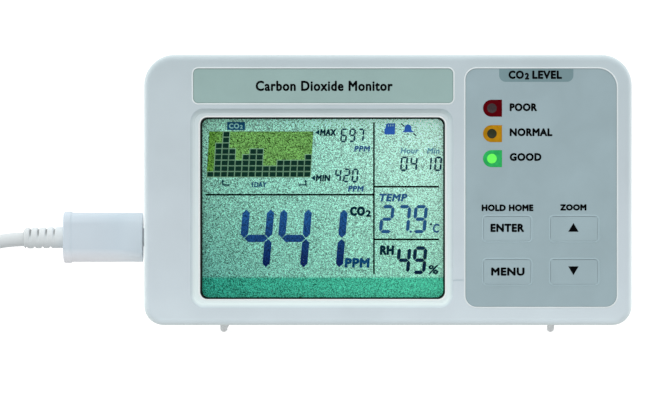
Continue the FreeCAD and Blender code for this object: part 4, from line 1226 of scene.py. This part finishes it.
def make_foot(side, jog, splay):
    """Bent rod: a pin down from the case, a toe, perhaps to one side, and a leg back along the table."""
    low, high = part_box(f"foot_{side}")
    x = (low[0] + high[0]) / 2
    y = low[1] + ROD_RADIUS
    route = [Vector((x, y, high[2])), Vector((x, y, ROD_RADIUS + ROD_BEND))]
    for step in range(1, BEND_STEPS):
        turn = math.pi / 2 * step / BEND_STEPS
        toe = x + jog * min(1.0, step / JOG_STEPS)
        back, down = ROD_BEND * (1 - math.cos(turn)), ROD_BEND * (1 - math.sin(turn))
        route.append(Vector((toe, y + back, ROD_RADIUS + down)))
    heel = y + ROD_BEND
    reach = high[1] - ROD_RADIUS - heel
    for step in range(1, LEG_STEPS + 1):
        share = step / LEG_STEPS
        route.append(Vector((toe + splay * share, heel + reach * share, ROD_RADIUS)))
    rings = []
    for step, point in enumerate(route):
        before, after = route[max(0, step - 1)], route[min(len(route) - 1, step + 1)]
        along = (after - before).normalized()
        across = along.cross(Vector((1, 0, 0))).normalized()
        other = along.cross(across).normalized()
        rings.append([point + (across * math.cos(a) + other * math.sin(a)) * ROD_RADIUS for a in circle(20)])
    tip, centre = rings[-1], route[-1]
    for share, push in TIP_ROUNDING:
        rings.append([centre + (p - centre) * share + Vector((0, push * ROD_RADIUS, 0)) for p in tip])
    foot = loft(f"foot_rod_{side}", rings, rod_coat, f"foot_{side}_body")
    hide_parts(f"foot_{side}")


make_lead(cable_pvc, [make_plug_relief(), make_plug_body()])
make_foot("left", -0.7 * MM, -1.4 * MM)
make_foot("right", 0.0, 3.0 * MM)


# ---------------- studio


FLOOR_HALF = 3.0
FLOOR_BACK = 0.9  # where the floor starts to curve up
FLOOR_RISE = 0.9  # radius of the curve
FLOOR_STEPS = 12


def make_floor():
    """Pale floor that curves up into a backdrop."""
    profile = [(-FLOOR_HALF, 0.0), (FLOOR_BACK, 0.0)]
    for step in range(1, FLOOR_STEPS + 1):
        angle = math.pi / 2 * step / FLOOR_STEPS
        profile.append((FLOOR_BACK + FLOOR_RISE * math.sin(angle), FLOOR_RISE * (1 - math.cos(angle))))
    profile.append((FLOOR_BACK + FLOOR_RISE, FLOOR_HALF))
    bm = bmesh.new()
    rows = [[bm.verts.new((x, y, z)) for x in (-FLOOR_HALF, FLOOR_HALF)] for y, z in profile]
    for low, high in zip(rows, rows[1:]):
        bm.faces.new([low[0], low[1], high[1], high[0]])
    mesh = to_mesh(bm, "floor")
    mesh.shade_smooth()
    look = Look("floor", 0.9, Specular_IOR_Level=0.0)
    look.color(look.ramp(look.noise(60 * MM), [(0.3, grey(0.38)), (0.7, grey(0.42))]))
    look.glow((1, 1, 1), 0.85)
    mesh.materials.append(look.material)
    floor = bpy.data.objects.new("floor", mesh)
    add_to_scene(floor)
    floor.visible_diffuse = False


def area_light(name, place, aim, size, power):
    data = bpy.data.lights.new(name, "AREA")
    data.shape = "RECTANGLE"
    data.size, data.size_y = size
    data.energy = power
    light = bpy.data.objects.new(name, data)
    light.location = place
    light.rotation_euler = (Vector(aim) - Vector(place)).to_track_quat("-Z", "Y").to_euler()
    add_to_scene(light)


def make_studio():
    """A white surround, dimmer below, and soft lights in front, above, at both sides and low down."""
    world = bpy.data.worlds.new("studio")
    world.use_nodes = True
    tree = world.node_tree
    direction = tree.nodes.new("ShaderNodeTexCoord")
    parts = tree.nodes.new("ShaderNodeSeparateXYZ")
    height = tree.nodes.new("ShaderNodeMapRange")
    for socket, amount in (("From Min", -0.5), ("From Max", 0.7), ("To Min", 0.48), ("To Max", 1.0)):
        height.inputs[socket].default_value = amount
    tree.links.new(direction.outputs["Generated"], parts.inputs["Vector"])
    tree.links.new(parts.outputs["Z"], height.inputs["Value"])
    tree.links.new(height.outputs["Result"], tree.nodes["Background"].inputs["Strength"])
    tree.nodes["Background"].inputs["Color"].default_value = (1, 1, 1, 1)
    bpy.context.scene.world = world
    aim = (-0.02, 0.0, 0.035)
    area_light("key", (-0.15, -0.75, 0.75), aim, (0.7, 0.5), 1.4)
    area_light("top", (-0.05, 0.15, 0.9), aim, (0.8, 0.6), 1.0)
    for name, way in (("left", -1), ("right", 1)):
        area_light(name, (way * 0.8, 0.06, 0.12), aim, (0.5, 0.5), 2.0)
    area_light("low", (-0.02, -0.30, 0.00), (-0.02, 0.0, 0.01), (0.35, 0.05), 0.14)
    bpy.context.scene.view_settings.view_transform = "Standard"


make_floor()
make_studio()
